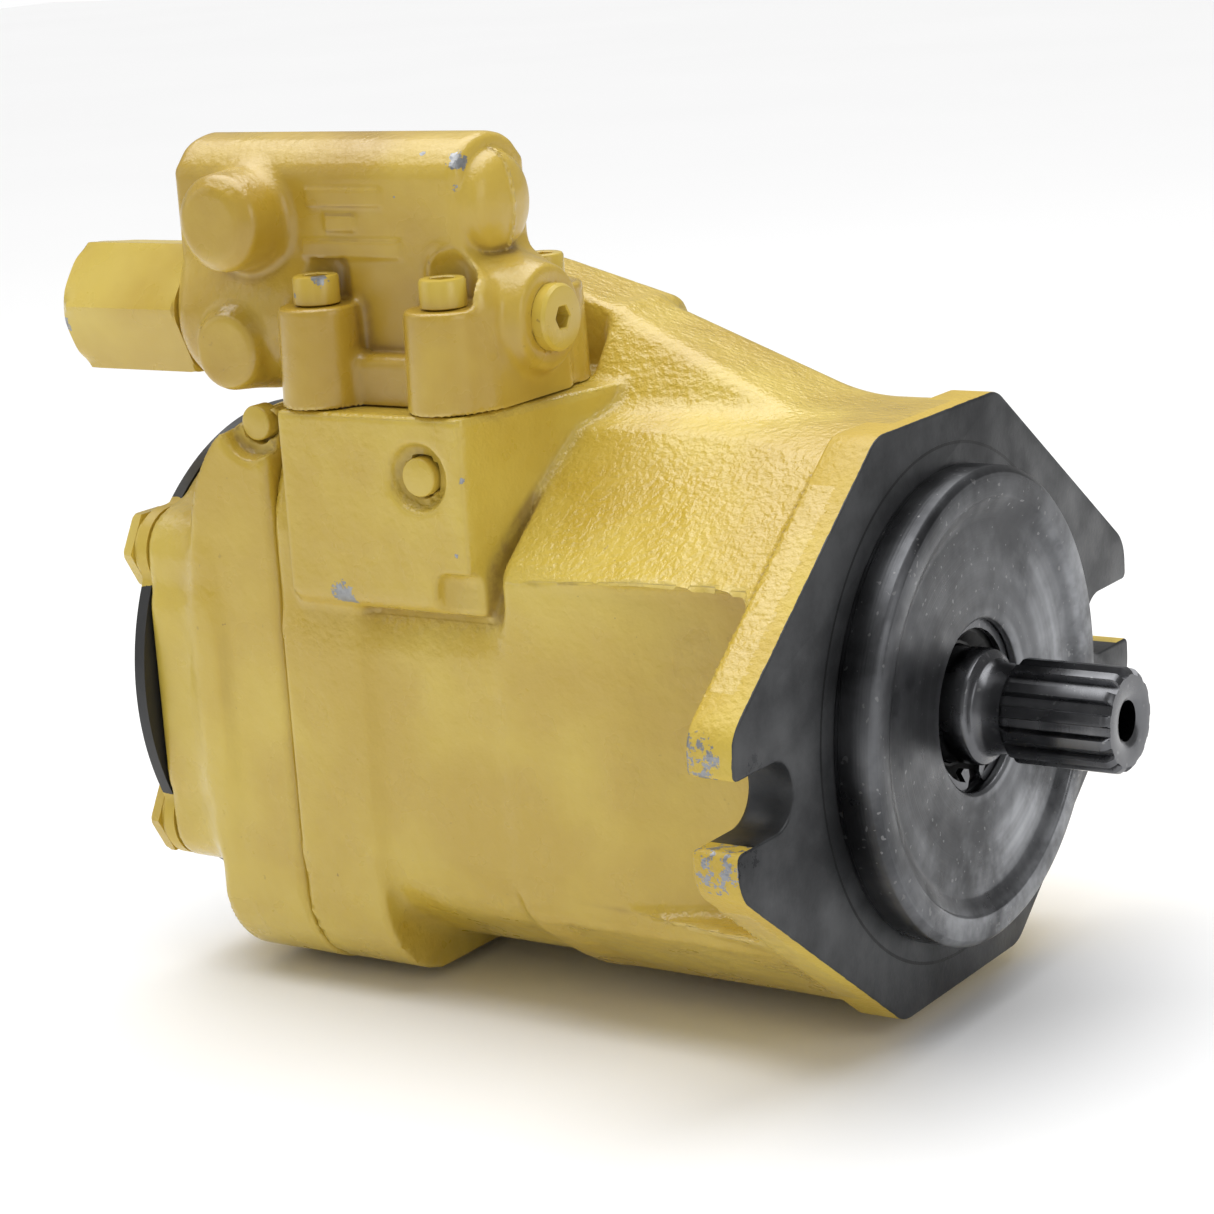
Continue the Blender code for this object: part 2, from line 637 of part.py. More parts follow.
def coil(name, lo, hi, radius, wire_r, turns, centre, slot):
    """A helical spring about an X line, swept from flat end to flat end."""
    shape = bmesh.new()
    per_turn, sides = 8, 5
    count = turns * per_turn
    rings = []
    for k in range(count + 1):
        t = 2 * math.pi * k / per_turn
        x = lo + wire_r + (hi - lo - 2 * wire_r) * k / count
        out = Vector((0.0, math.cos(t), math.sin(t)))
        base = Vector((x, centre[0], centre[1])) + out * radius
        loop = [2 * math.pi * s / sides for s in range(sides)]
        rings.append([shape.verts.new(base + wire_r * (out * math.cos(a) + Vector((math.sin(a), 0, 0))))
                      for a in loop])
    for first, second in zip(rings, rings[1:]):
        skin_between(shape, first, second, sides)
    shape.faces.new(rings[0][::-1])
    shape.faces.new(rings[-1])
    return finish_object(name, shape, slot)


# ---------------------------------------------------------------- control valve

def build_valve_body():
    base = PAD_TOP + GAP
    outline = rounded([(-44.0, base, 0), (-44.0, VALVE_TOP, 11.0), (-18.0, VALVE_TOP, 11.0), (-18.0, base, 0)], 5)
    body = prism("valve_body", outline, -163.0, -88.0, "yellow_paint")
    for i, (x, y) in enumerate(SCREW_XY):
        join(body, cylinder(f"screw_boss_add_{i}", base, BOSS_TOP, 8.6, (x, y), steps=18, axis="Z"))
    join(body, box("valve_foot_add", (-129.0, -80.5), (-50.0, -12.0), (base, 80.0)))
    join(body, box("valve_nose_add", (-90.0, -78.0), (-47.0, -17.0), (base, 97.0)))
    for name, lo, hi, radius, z in (("collar", -164.7, -141.0, 16.5, VALVE_BORE_Z),
                                    ("plug_boss", -89.5, -74.0, 12.0, VALVE_BORE_Z),
                                    ("top_boss", -92.0, -82.5, 12.3, 109.0)):
        rim = [(lo, 0), (lo, radius - 1), (lo + 1, radius), (hi - 2, radius), (hi, radius - 2), (hi, 0)]
        join(body, lathe(f"{name}_add", rim, steps=24, centre=(VALVE_Y, z)))
    join(body, *side_bosses())
    bore = [(-176.0, 0), (-176.0, VALVE_BORE_R), (-70.0, VALVE_BORE_R), (-70.0, 0)]
    cut(body, lathe("spool_bore_cut", bore, steps=24, centre=(VALVE_Y, VALVE_BORE_Z)))
    for i, at in enumerate(SCREW_XY):
        space = [(base - 3, 0), (base - 3, 3.4), (BOSS_TOP - 0.3, 3.4), (BOSS_TOP - 0.3, 5.7), (99.0, 5.7), (99.0, 0)]
        cut(body, lathe(f"boss_screw_cut_{i}", space, steps=16, centre=at, axis="Z"))
    return body


def side_bosses():
    upper = [(-57.5, 0), (-57.5, 8.6), (-56.3, 9.6), (-44.5, 12.2), (-38.0, 12.2), (-38.0, 0)]
    lower = [(-51.5, 0), (-51.5, 7.6), (-50.5, 8.6), (-44.0, 10.0), (-38.0, 10.0), (-38.0, 0)]
    return [
        lathe("upper_side_boss_add", upper, steps=20, centre=(-143.0, 107.0), axis="Y"),
        lathe("lower_side_boss_add", lower, steps=20, centre=(-149.0, 80.5), axis="Y"),
    ]


def build_valve_screws():
    for i, (x, y) in enumerate(SCREW_XY):
        profile = [(52.0, 0), (52.0, 3.0), (BOSS_TOP + 1, 3.0), (BOSS_TOP + 1, 0)]
        screw = lathe(f"valve_screw_{i + 1}", profile, "yellow_paint", steps=12, centre=(x, y), axis="Z")
        head = [(BOSS_TOP, 0), (BOSS_TOP, 5.0), (93.6, 5.0), (94.1, 4.5), (94.1, 0)]
        join(screw, lathe(f"screw_head_add_{i}", head, steps=18, centre=(x, y), axis="Z"))
        cut(screw, prism(f"screw_socket_cut_{i}", hexagon(5.0, (x, y)), 91.0, 96.0, axis="Z"))


def build_valve_internals():
    at = (VALVE_Y, VALVE_BORE_Z)
    plug = [(-84.0, 0), (-84.0, 6.7), (-72.4, 6.7), (-71.8, 6.2), (-71.8, 0)]
    made = lathe("valve_front_plug", plug, "yellow_paint", steps=28, centre=at)
    cut(made, prism("plug_socket_cut", hexagon(4.5, at, math.pi / 6), -76.5, -70.0))
    land, waist = 6.6, 4.4
    spool = [(-149.0, 0), (-149.0, land), (-138.0, land), (-138.0, waist), (-124.0, waist), (-124.0, land)]
    spool += [(-112.0, land), (-112.0, waist), (-102.0, waist), (-102.0, land), (-90.0, land), (-90.0, 0)]
    lathe("spool", spool, "bright_steel", steps=16, centre=at)
    coil("spool_spring", -165.6, -149.5, 5.0, 0.9, 4, at, "bright_steel")
    seat = [(-166.0, 0), (-166.0, 6.5), (-170.0, 6.5), (-171.0, 4.0), (-186.0, 4.0), (-186.0, 0)]
    lathe("spring_seat", seat, "bright_steel", steps=16, centre=at)


def build_adjuster_cap():
    """The hex cap over the spring adjuster; its open end faces the valve."""
    at = (VALVE_Y, VALVE_BORE_Z)
    cap = prism("adjuster_cap", hexagon(29.0, at, math.radians(-6)), -200.7, -165.0, "yellow_paint")
    profile = [(-200.7, 0), (-200.7, 13.2), (-198.2, 16.0), (-195.7, 17.5), (-164.0, 17.5), (-164.0, 0)]
    keep_common(cap, lathe("cap_end_keep", profile, steps=36, centre=at))
    cut(cap, cylinder("cap_bore_cut", -192.0, -162.0, 8.0, at, steps=24))


def main():
    clear_scene()
    build_housing()
    build_port_plate()
    build_cover()
    build_end_bolts()
    build_side_plugs()
    build_shaft()
    build_bearings()
    build_seal()
    build_pistons()
    build_block()
    build_retainer()
    build_valve_plate()
    build_swash_plate()
    build_strokers()
    build_valve_body()
    build_valve_screws()
    build_valve_internals()
    build_adjuster_cap()
    for obj in collection("axial_piston_pump").objects:
        if any(modifier.type == "BOOLEAN" for modifier in obj.modifiers):
            merge_flats(obj)


main()
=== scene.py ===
"""The looks of an axial piston pump: painted castings, turned steel, fasteners and a studio round them.

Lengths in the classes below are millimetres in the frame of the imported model: +X runs out of the drive end, +Z is up
and -Y is the side that the camera stands on.
"""

import json
import logging
import math
from dataclasses import dataclass, field
from enum import Enum
from typing import Callable, Sequence

import bmesh
import bpy
import numpy as np
from mathutils import Matrix, Vector


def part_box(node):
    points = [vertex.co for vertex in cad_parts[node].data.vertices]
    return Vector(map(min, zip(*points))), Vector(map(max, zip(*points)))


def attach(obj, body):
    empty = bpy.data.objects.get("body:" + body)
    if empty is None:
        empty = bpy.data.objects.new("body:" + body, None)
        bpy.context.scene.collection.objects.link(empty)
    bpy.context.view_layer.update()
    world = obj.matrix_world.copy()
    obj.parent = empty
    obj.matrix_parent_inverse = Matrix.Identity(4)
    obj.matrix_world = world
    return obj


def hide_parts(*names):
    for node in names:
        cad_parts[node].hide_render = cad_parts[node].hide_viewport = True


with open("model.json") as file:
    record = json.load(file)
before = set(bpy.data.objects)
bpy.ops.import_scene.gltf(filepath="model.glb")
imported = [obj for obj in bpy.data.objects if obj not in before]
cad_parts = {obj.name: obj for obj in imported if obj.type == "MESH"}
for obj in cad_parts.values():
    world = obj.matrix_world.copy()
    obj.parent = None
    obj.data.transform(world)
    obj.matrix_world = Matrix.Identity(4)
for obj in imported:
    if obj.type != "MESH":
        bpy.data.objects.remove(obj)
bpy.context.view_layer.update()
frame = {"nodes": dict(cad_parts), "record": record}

MM = 0.001
AXES = {"X": (0, 1, 2), "Y": (1, 0, 2), "Z": (2, 0, 1)}
LOG = logging.getLogger("pump")

Array = np.ndarray
Field = Callable[[Array], Array]
Corner = tuple[float, float]


# ---------------------------------------------------------------- distance fields

def round_pair(a: Array, b: Array, radius: float) -> Array:
    """Two distances as one, with the edge where they meet rounded.

    Formula: past the inset faces, the length of the two overshoots; inside them, the larger of the two; less the radius.

    Args:
        a: Signed distances to the first shape.
        b: Signed distances to the second shape.
        radius: Radius of the rounded edge.

    Returns:
        Signed distances to what both shapes share.
    """
    over = np.hypot(np.maximum(a + radius, 0), np.maximum(b + radius, 0))
    return over + np.minimum(np.maximum(a, b) + radius, 0) - radius


def melt(a: Array, b: Array, blend: float) -> Array:
    """Two distances joined with a fillet.

    Formula: the smaller of the two, less a quarter of the blend times the square of how far within the blend they are.

    Args:
        a: Signed distances to the first shape.
        b: Signed distances to the second shape.
        blend: Width over which the shapes run into each other.

    Returns:
        Signed distances to the joined shape.
    """
    if blend <= 0:
        return np.minimum(a, b)
    near = np.maximum(blend - np.abs(a - b), 0) / blend
    return np.minimum(a, b) - near * near * blend / 4


def sides_of(corners: Sequence[Corner], on_axis: bool = False) -> Array:
    """The straight sides of a convex outline as half-planes.

    Args:
        corners: Corners of the outline in order.
        on_axis: Leave out the sides that lie on the second coordinate's zero line.

    Returns:
        One row for each side: the outward normal and its offset.
    """
    points = np.array(corners, float)
    ahead = np.roll(points, -1, axis=0)
    keep = np.linalg.norm(ahead - points, axis=1) > 1e-9
    if on_axis:
        keep &= (points[:, 1] > 1e-9) | (ahead[:, 1] > 1e-9)
    middle = points.mean(axis=0)
    points, ahead = points[keep], ahead[keep]
    along = (ahead - points) / np.linalg.norm(ahead - points, axis=1)[:, None]
    normal = np.stack([along[:, 1], -along[:, 0]], axis=1)
    offset = (normal * points).sum(axis=1)
    turn = np.where(normal @ middle > offset, -1.0, 1.0)
    return np.column_stack([normal * turn[:, None], offset * turn])


def within(sides: Array, u: Array, v: Array, radius: float) -> Array:
    """Distance to a convex outline with rounded corners.

    Formula: the length of all overshoots past the inset sides, or the largest distance inside them, less the radius.

    Args:
        sides: Half-planes from sides_of.
        u: First coordinates of the points.
        v: Second coordinates of the points.
        radius: Radius of the corners.

    Returns:
        Signed distances in the plane of the outline.
    """
    total, top = np.zeros_like(u), np.full_like(u, -1e6)
    for a, b, c in sides:
        distance = a * u + b * v - c
        np.maximum(top, distance, out=top)
        total += np.maximum(distance + radius, 0) ** 2
    return np.sqrt(total) + np.minimum(top + radius, 0) - radius


def prism(axis: str, corners: Sequence[Corner], lo: float, hi: float, corner: float = 0.0, edge: float = 0.0) -> Field:
    """A convex outline carried along an axis.

    Args:
        axis: Name of the axis.
        corners: Outline in the other two coordinates, in their alphabetical order.
        lo: Where the prism starts.
        hi: Where it ends.
        corner: Radius of the outline's corners.
        edge: Radius of the edges at both ends.

    Returns:
        The distance field.
    """
    a, u, v = AXES[axis]
    sides = sides_of(corners)

    def distance(points: Array) -> Array:
        """Signed distance of each point."""
        along = np.maximum(lo - points[:, a], points[:, a] - hi)
        return round_pair(within(sides, points[:, u], points[:, v], corner), along, edge)

    return distance


def both_sides(shape: Field) -> Field:
    """The -Y half of a shape on both sides of the middle, by reading it at minus the absolute Y."""
    return lambda points: shape(np.column_stack([points[:, 0], -np.abs(points[:, 1]), points[:, 2]]))


def block(x: Corner, y: Corner, z: Corner, corner: float = 0.0, edge: float = 0.0) -> Field:
    """A box between the given limits, as a prism along Z."""
    outline = [(x[0], y[0]), (x[1], y[0]), (x[1], y[1]), (x[0], y[1])]
    return prism("Z", outline, z[0], z[1], corner, edge)


def turned(axis: str, centre: Corner, corners: Sequence[Corner], edge: float = 0.0) -> Field:
    """A convex profile of (along, radius) corners turned round a line.

    Args:
        axis: Axis that the line is parallel to.
        centre: Where the line passes in the other two coordinates.
        corners: Profile, closed along the line.
        edge: Radius of its edges.

    Returns:
        The distance field.
    """
    a, u, v = AXES[axis]
    sides = sides_of(corners, on_axis=True)

    def distance(points: Array) -> Array:
        """Signed distance of each point."""
        out = np.hypot(points[:, u] - centre[0], points[:, v] - centre[1])
        return within(sides, points[:, a], out, edge)

    return distance


def rod(axis: str, centre: Corner, lo: float, hi: float, radius: float, edge: float = 0.0) -> Field:
    """A plain round bar from lo to hi, by turning a rectangle."""
    return turned(axis, centre, [(lo, 0.0), (lo, radius), (hi, radius), (hi, 0.0)], edge)


def slab(points_on: Sequence[Sequence[Sequence[float]]], inside: Sequence[float], radius: float) -> Field:
    """A convex body from planes, each given by three points.

    Formula: each plane's normal is the cross product of two of its edges, turned away from the inside point.

    Args:
        points_on: Three points for each plane.
        inside: A point within the body.
        radius: Radius of the edges.

    Returns:
        The distance field.
    """
    corners = np.array(points_on, float)
    normal = np.cross(corners[:, 1] - corners[:, 0], corners[:, 2] - corners[:, 0])
    normal /= np.linalg.norm(normal, axis=1)[:, None]
    offset = (normal * corners[:, 0]).sum(axis=1)
    turn = np.where(normal @ np.array(inside) > offset, -1.0, 1.0)
    normal, offset = normal * turn[:, None], offset * turn

    def distance(points: Array) -> Array:
        """Signed distance of each point."""
        total, top = np.zeros(len(points)), np.full(len(points), -1e6)
        for way, reach in zip(normal, offset):
            away = points @ way - reach
            np.maximum(top, away, out=top)
            total += np.maximum(away + radius, 0) ** 2
        return np.sqrt(total) + np.minimum(top + radius, 0) - radius

    return distance


class Work(Enum):
    """What a step of a casting does with its shape."""

    ADD = "add"
    CUT = "cut"
    KEEP = "keep"


@dataclass
class CastShape:
    """A casting as a list of shapes added, cut away or kept, each with a fillet."""

    steps: list[tuple[Work, Field, float]] = field(default_factory=list)

    def add(self, shape: Field, blend: float = 3.0) -> None:
        """Joins a shape on with a fillet."""
        self.steps.append((Work.ADD, shape, blend))

    def cut(self, shape: Field, blend: float = 0.8) -> None:
        """Takes a shape away, with its rim eased."""
        self.steps.append((Work.CUT, shape, blend))

    def keep(self, shape: Field, blend: float = 1.0) -> None:
        """Keeps only what lies within a shape."""
        self.steps.append((Work.KEEP, shape, blend))

    def distance(self, points: Array) -> Array:
        """Signed distance of each point to the casting.

        Args:
            points: Points in rows.

        Returns:
            Distances, negative inside.
        """
        found = np.full(len(points), 1e3)
        for work, shape, blend in self.steps:
            other = shape(points)
            if work is Work.ADD:
                found = melt(found, other, blend)
            elif work is Work.CUT:
                found = -melt(-found, other, blend)
            else:
                found = -melt(-found, -other, blend)
        return found


# ---------------------------------------------------------------- surfaces from fields

def sample(shape: Field, lo: Array, counts: Sequence[int], step: float) -> Array:
    """Values of a field on a regular lattice, a few layers at a time."""
    nx, ny, nz = counts
    y, z = np.meshgrid(lo[1] + step * np.arange(ny), lo[2] + step * np.arange(nz), indexing="ij")
    values = np.empty((nx, ny, nz), np.float32)
    for start in range(0, nx, 12):
        xs = lo[0] + step * np.arange(start, min(start + 12, nx))
        points = np.empty((len(xs), ny, nz, 3))
        points[..., 0], points[..., 1], points[..., 2] = xs[:, None, None], y, z
        values[start:start + len(xs)] = shape(points.reshape(-1, 3)).reshape(len(xs), ny, nz)
    return values


def skin_points(values: Array, active: Array) -> Array:
    """One point for each lattice cell that the surface crosses.

    Formula: the mean, over the cell's twelve edges that change sign, of where the value falls to zero along the edge.

    Args:
        values: Field values on the lattice.
        active: Cells that the surface crosses.

    Returns:
        Points in lattice units.
    """
    cells = np.argwhere(active)
    total, count = np.zeros((len(cells), 3)), np.zeros(len(cells))
    for axis in range(3):
        for first in (0, 1):
            for second in (0, 1):
                start = np.insert([first, second], axis, 0)
                end = np.insert([first, second], axis, 1)
                a = values[tuple((cells + start).T)]
                b = values[tuple((cells + end).T)]
                hit = (a < 0) != (b < 0)
                share = np.where(hit, a / np.where(hit, a - b, 1), 0)
                point = start + share[:, None] * (end - start)
                total += np.where(hit[:, None], point, 0)
                count += hit
    return cells + total / count[:, None]


def skin_faces(values: Array, index: Array) -> Array:
    """One quad for each lattice edge that changes sign, through the four cells round it, facing outwards."""
    made = []
    for axis in range(3):
        u, v = [(1, 2), (2, 0), (0, 1)][axis]
        lower = [slice(1, -1)] * 3
        upper = [slice(1, -1)] * 3
        lower[axis], upper[axis] = slice(0, -1), slice(1, None)
        a, b = values[tuple(lower)] < 0, values[tuple(upper)] < 0
        at = np.argwhere(a != b)
        inside_first = a[tuple(at.T)]
        offset = np.ones(3, int)
        offset[axis] = 0
        at = at + offset
        ring = []
        for du, dv in ((-1, -1), (0, -1), (0, 0), (-1, 0)):
            cell = at.copy()
            cell[:, u] += du
            cell[:, v] += dv
            ring.append(index[tuple(cell.T)])
        quads = np.stack(ring, axis=1)
        made.append(np.where(inside_first[:, None], quads, quads[:, ::-1]))
    return np.concatenate(made)


def slope(shape: Field, points: Array, reach: float) -> Array:
    """Gradient of a field by central differences over the given reach."""
    parts = []
    for axis in range(3):
        shift = np.zeros(3)
        shift[axis] = reach
        parts.append((shape(points + shift) - shape(points - shift)) / (2 * reach))
    return np.stack(parts, axis=1)


def cast_surface(shape: Field, lo: Sequence[float], hi: Sequence[float], step: float) -> tuple[Array, Array, Array]:
    """The zero surface of a field as a closed mesh, with its outward normals.

    Formula: a point in every crossed lattice cell, joined round every crossed lattice edge, and then moved along the
    slope by the value over the square of the slope, three times.

    Args:
        shape: The distance field.
        lo: Lowest corner of the lattice.
        hi: Highest corner of the lattice.
        step: Lattice spacing.

    Returns:
        Points, quads and normals.
    """
    low = np.array(lo, float)
    counts = [int(math.ceil((b - a) / step)) + 1 for a, b in zip(lo, hi)]
    values = sample(shape, low, counts, step)
    inside = (values < 0).astype(np.int8)
    total = sum(
        inside[i:counts[0] - 1 + i, j:counts[1] - 1 + j, k:counts[2] - 1 + k]
        for i in (0, 1) for j in (0, 1) for k in (0, 1)
    )
    active = (total > 0) & (total < 8)
    index = np.full(active.shape, -1, np.int64)
    index[active] = np.arange(active.sum())
    points = low + step * skin_points(values, active)
    quads = skin_faces(values, index)
    for _ in range(3):
        grade = slope(shape, points, 0.2 * step)
        size = np.maximum((grade**2).sum(axis=1), 0.2)
        move = -grade * (shape(points) / size)[:, None]
        points = points + np.clip(move, -0.5 * step, 0.5 * step)
    grade = slope(shape, points, 0.3 * step)
    return points, quads, grade / np.maximum(np.linalg.norm(grade, axis=1), 1e-6)[:, None]


def hollow_amount(shape: Field, points: Array, normal: Array, reaches: Sequence[float]) -> Array:
    """How much of the space just above each point is closed in, from 0 to 1.

    Formula: the mean, over the reaches, of the shortfall between a reach and the distance found that far out.

    Args:
        shape: The distance field.
        points: Surface points.
        normal: Outward normals.
        reaches: Distances to look out to.

    Returns:
        One value for each point.
    """
    found = [np.clip((reach - shape(points + normal * reach)) / reach, 0, 1) for reach in reaches]
    return np.mean(found, axis=0)


def ridge_amount(shape: Field, points: Array, normal: Array, reach: float) -> Array:
    """How sharply the surface turns away at each point, from the shortfall that far inside it."""
    return np.clip((reach + shape(points - normal * reach)) / reach, 0, 1)


# ---------------------------------------------------------------- meshes

def new_piece(name: str, points: Array, faces: Sequence[Sequence[int]], finish: "Finish", sharp: float = 35.0,
              outward: bool = False) -> bpy.types.Object:
    """A mesh object at the origin, its place in its mesh.

    Args:
        name: Name of the piece.
        points: Points in millimetres.
        faces: Corner numbers of each face.
        finish: What the piece is dressed in.
        sharp: Edges turning by more than this many degrees stay sharp.
        outward: True if the faces already point outwards.

    Returns:
        The object, linked into the scene.
    """
    mesh = bpy.data.meshes.new(name)
    faces = faces.tolist() if isinstance(faces, np.ndarray) else faces
    mesh.from_pydata((points * MM).tolist(), [], faces)
    if not outward:
        shape = bmesh.new()
        shape.from_mesh(mesh)
        bmesh.ops.remove_doubles(shape, verts=shape.verts, dist=1e-7)
        bmesh.ops.recalc_face_normals(shape, faces=shape.faces)
        shape.to_mesh(mesh)
        shape.free()
    mesh.validate()
    mesh.polygons.foreach_set("use_smooth", np.ones(len(mesh.polygons), bool))
    mesh.set_sharp_from_angle(angle=math.radians(sharp))
    mesh.materials.append(finish.material())
    piece = bpy.data.objects.new(name, mesh)
    bpy.context.scene.collection.objects.link(piece)
    return piece


def add_values(piece: bpy.types.Object, name: str, values: Array) -> None:
    """Stores one number for each point of a piece, for its material to read."""
    stored = piece.data.attributes.new(name, "FLOAT", "POINT")
    stored.data.foreach_set("value", values.astype(np.float32))


def ring_faces(rows: int, columns: int, closed: bool) -> list[list[int]]:
    """Quads between the rings of a grid whose columns run round, and fans to a last and a next-to-last point."""
    row, column = np.meshgrid(np.arange(rows if closed else rows - 1), np.arange(columns), indexing="ij")
    after, beside = (row + 1) % rows, (column + 1) % columns
    quads = np.stack([row * columns + column, row * columns + beside, after * columns + beside,
                      after * columns + column], axis=-1).reshape(-1, 4).tolist()
    if closed:
        return quads
    first, last = rows * columns, rows * columns + 1
    for c in range(columns):
        d = (c + 1) % columns
        quads.append([d, c, first])
        quads.append([(rows - 1) * columns + c, (rows - 1) * columns + d, last])
    return quads


def turned_piece(name: str, axis: str, centre: Corner, along: Array, radius: Array, finish: "Finish",
                 closed: bool = False, sharp: float = 35.0, phase: float = 0.0) -> bpy.types.Object:
    """A grid of rings round a line.

    Formula: a ring point stands at its distance along the line, and at its radius times the cosine and sine of the
    turn. The radius may differ round each ring, for hexagons and splines.

    Args:
        name: Name of the piece.
        axis: Axis that the line is parallel to.
        centre: Where the line passes in the other two coordinates.
        along: Distance along the line of each ring.
        radius: Radius of each ring, one number or one for each column.
        finish: What the piece is dressed in.
        closed: True if the last ring joins the first, as in a washer.
        sharp: Edges turning by more than this many degrees stay sharp.
        phase: Turn of the first column in radians.

    Returns:
        The piece.
    """
    rows, columns = radius.shape
    turn = phase + 2 * math.pi * np.arange(columns) / columns
    a, u, v = AXES[axis]
    points = np.empty((rows, columns, 3))
    points[..., a] = along[:, None]
    points[..., u] = centre[0] + radius * np.cos(turn)
    points[..., v] = centre[1] + radius * np.sin(turn)
    flat = points.reshape(-1, 3)
    if not closed:
        ends = np.zeros((2, 3))
        ends[:, a], ends[:, u], ends[:, v] = (along[0], along[-1]), centre[0], centre[1]
        flat = np.concatenate([flat, ends])
    return new_piece(name, flat, ring_faces(rows, columns, closed), finish, sharp)


def lathe(name: str, axis: str, centre: Corner, profile: Sequence[Corner], finish: "Finish", columns: int = 96,
          closed: bool = False) -> bpy.types.Object:
    """A profile of (along, radius) corners turned round a line, with its sharp corners slightly eased."""
    rows = eased(profile, closed)
    radius = np.repeat(rows[:, 1:2], columns, axis=1)
    return turned_piece(name, axis, centre, rows[:, 0], radius, finish, closed)


def eased(profile: Sequence[Corner], closed: bool, ease: float = 0.18) -> Array:
    """A profile with two points beside each corner in place of it, so that edges catch the light.

    Formula: each corner is replaced by the points that lie the ease, or a third of the side, along both its sides.

    Args:
        profile: Corners of the profile.
        closed: True if its last corner joins the first.
        ease: Distance of the new points from the corner.

    Returns:
        The new corners in rows.
    """
    points = np.array(profile, float)
    before, after = np.roll(points, 1, axis=0) - points, np.roll(points, -1, axis=0) - points
    made = []
    for side in (before, after):
        length = np.maximum(np.linalg.norm(side, axis=1), 1e-9)
        made.append(points + side * (np.minimum(ease, length / 3) / length)[:, None])
    both = np.stack(made, axis=1)
    if not closed:
        both[0], both[-1] = points[0], points[-1]
    return both.reshape(-1, 2)


def hexagon_radius(turn: Array, flats: float) -> Array:
    """Distance from a hexagon's centre to its side in each direction: half the flats over a cosine."""
    third = math.pi / 3
    return flats / 2 / np.cos(np.mod(turn, third) - third / 2)


# ---------------------------------------------------------------- finishes

class Bench:
    """A material's nodes, laid out as they are asked for."""

    def __init__(self, name: str) -> None:
        """Starts a material with a Principled shader and object coordinates."""
        self.made = bpy.data.materials.new(name)
        self.made.use_nodes = True
        self.tree = self.made.node_tree
        self.tree.nodes.clear()
        self.shader = self.tree.nodes.new("ShaderNodeBsdfPrincipled")
        output = self.tree.nodes.new("ShaderNodeOutputMaterial")
        self.tree.links.new(self.shader.outputs[0], output.inputs["Surface"])
        self.place = self.tree.nodes.new("ShaderNodeTexCoord").outputs["Object"]

    def put(self, target: bpy.types.NodeSocket, value: object) -> None:
        """Links a socket, or sets a plain number or colour on it."""
        if isinstance(value, bpy.types.NodeSocket):
            self.tree.links.new(value, target)
        elif isinstance(value, tuple) and len(value) == 3 and target.type == "RGBA":
            target.default_value = (*value, 1.0)
        else:
            target.default_value = value

    def math(self, kind: str, a: object, b: object = 0.0, c: object = 0.0) -> bpy.types.NodeSocket:
        """One step of arithmetic on numbers."""
        node = self.tree.nodes.new("ShaderNodeMath")
        node.operation = kind
        for socket, value in zip(node.inputs, (a, b, c)):
            self.put(socket, value)
        return node.outputs[0]

    def noise(self, scale: float, detail: float = 3.0, rough: float = 0.5, where: object = None) -> bpy.types.NodeSocket:
        """Soft noise from 0 to 1 at a scale in cells for each metre."""
        node = self.tree.nodes.new("ShaderNodeTexNoise")
        self.put(node.inputs["Vector"], where or self.place)
        node.inputs["Scale"].default_value = scale
        node.inputs["Detail"].default_value = detail
        node.inputs["Roughness"].default_value = rough
        return node.outputs["Fac"]

    def span(self, value: object, lo: float, hi: float, to_lo: float = 0.0, to_hi: float = 1.0) -> bpy.types.NodeSocket:
        """A value stretched from one range to another and held at its ends, smoothly."""
        node = self.tree.nodes.new("ShaderNodeMapRange")
        node.interpolation_type = "SMOOTHSTEP"
        for name, number in (("Value", value), ("From Min", lo), ("From Max", hi), ("To Min", to_lo), ("To Max", to_hi)):
            self.put(node.inputs[name], number)
        return node.outputs[0]

    def mix(self, share: object, a: object, b: object) -> bpy.types.NodeSocket:
        """A colour between a and b."""
        node = self.tree.nodes.new("ShaderNodeMix")
        node.data_type = "RGBA"
        self.put(node.inputs[0], share)
        self.put(node.inputs[6], a)
        self.put(node.inputs[7], b)
        return node.outputs[2]

    def attribute(self, name: str) -> bpy.types.NodeSocket:
        """A number stored on the piece's points."""
        node = self.tree.nodes.new("ShaderNodeAttribute")
        node.attribute_name = name
        return node.outputs["Fac"]

    def axes(self) -> tuple[bpy.types.NodeSocket, ...]:
        """The three object coordinates, in metres."""
        node = self.tree.nodes.new("ShaderNodeSeparateXYZ")
        self.put(node.inputs[0], self.place)
        return tuple(node.outputs)

    def away(self, spot: Sequence[float]) -> bpy.types.NodeSocket:
        """Distance in metres from a spot given in millimetres."""
        node = self.tree.nodes.new("ShaderNodeVectorMath")
        node.operation = "DISTANCE"
        self.put(node.inputs[0], self.place)
        node.inputs[1].default_value = tuple(number * MM for number in spot)
        return node.outputs["Value"]

    def bump(self, height: object, depth: float, under: object = None) -> bpy.types.NodeSocket:
        """A normal from a height and its depth in millimetres."""
        node = self.tree.nodes.new("ShaderNodeBump")
        node.inputs["Strength"].default_value = 1.0
        node.inputs["Distance"].default_value = depth * MM
        self.put(node.inputs["Height"], height)
        if under is not None:
            self.put(node.inputs["Normal"], under)
        return node.outputs[0]

    def dress(self, **sockets: object) -> bpy.types.Material:
        """Sets the shader's sockets, by their names with underscores for spaces."""
        for name, value in sockets.items():
            self.put(self.shader.inputs[name.replace("_", " ")], value)
        return self.made


class Finish:
    """Something a piece can be dressed in. Each finish makes its material once."""

    _made: dict[object, bpy.types.Material] = {}

    def material(self) -> bpy.types.Material:
        """The material of this finish."""
        if self not in Finish._made:
            Finish._made[self] = self.build()
        return Finish._made[self]

    def build(self) -> bpy.types.Material:
        """Makes the material; each finish has its own way."""
        raise NotImplementedError


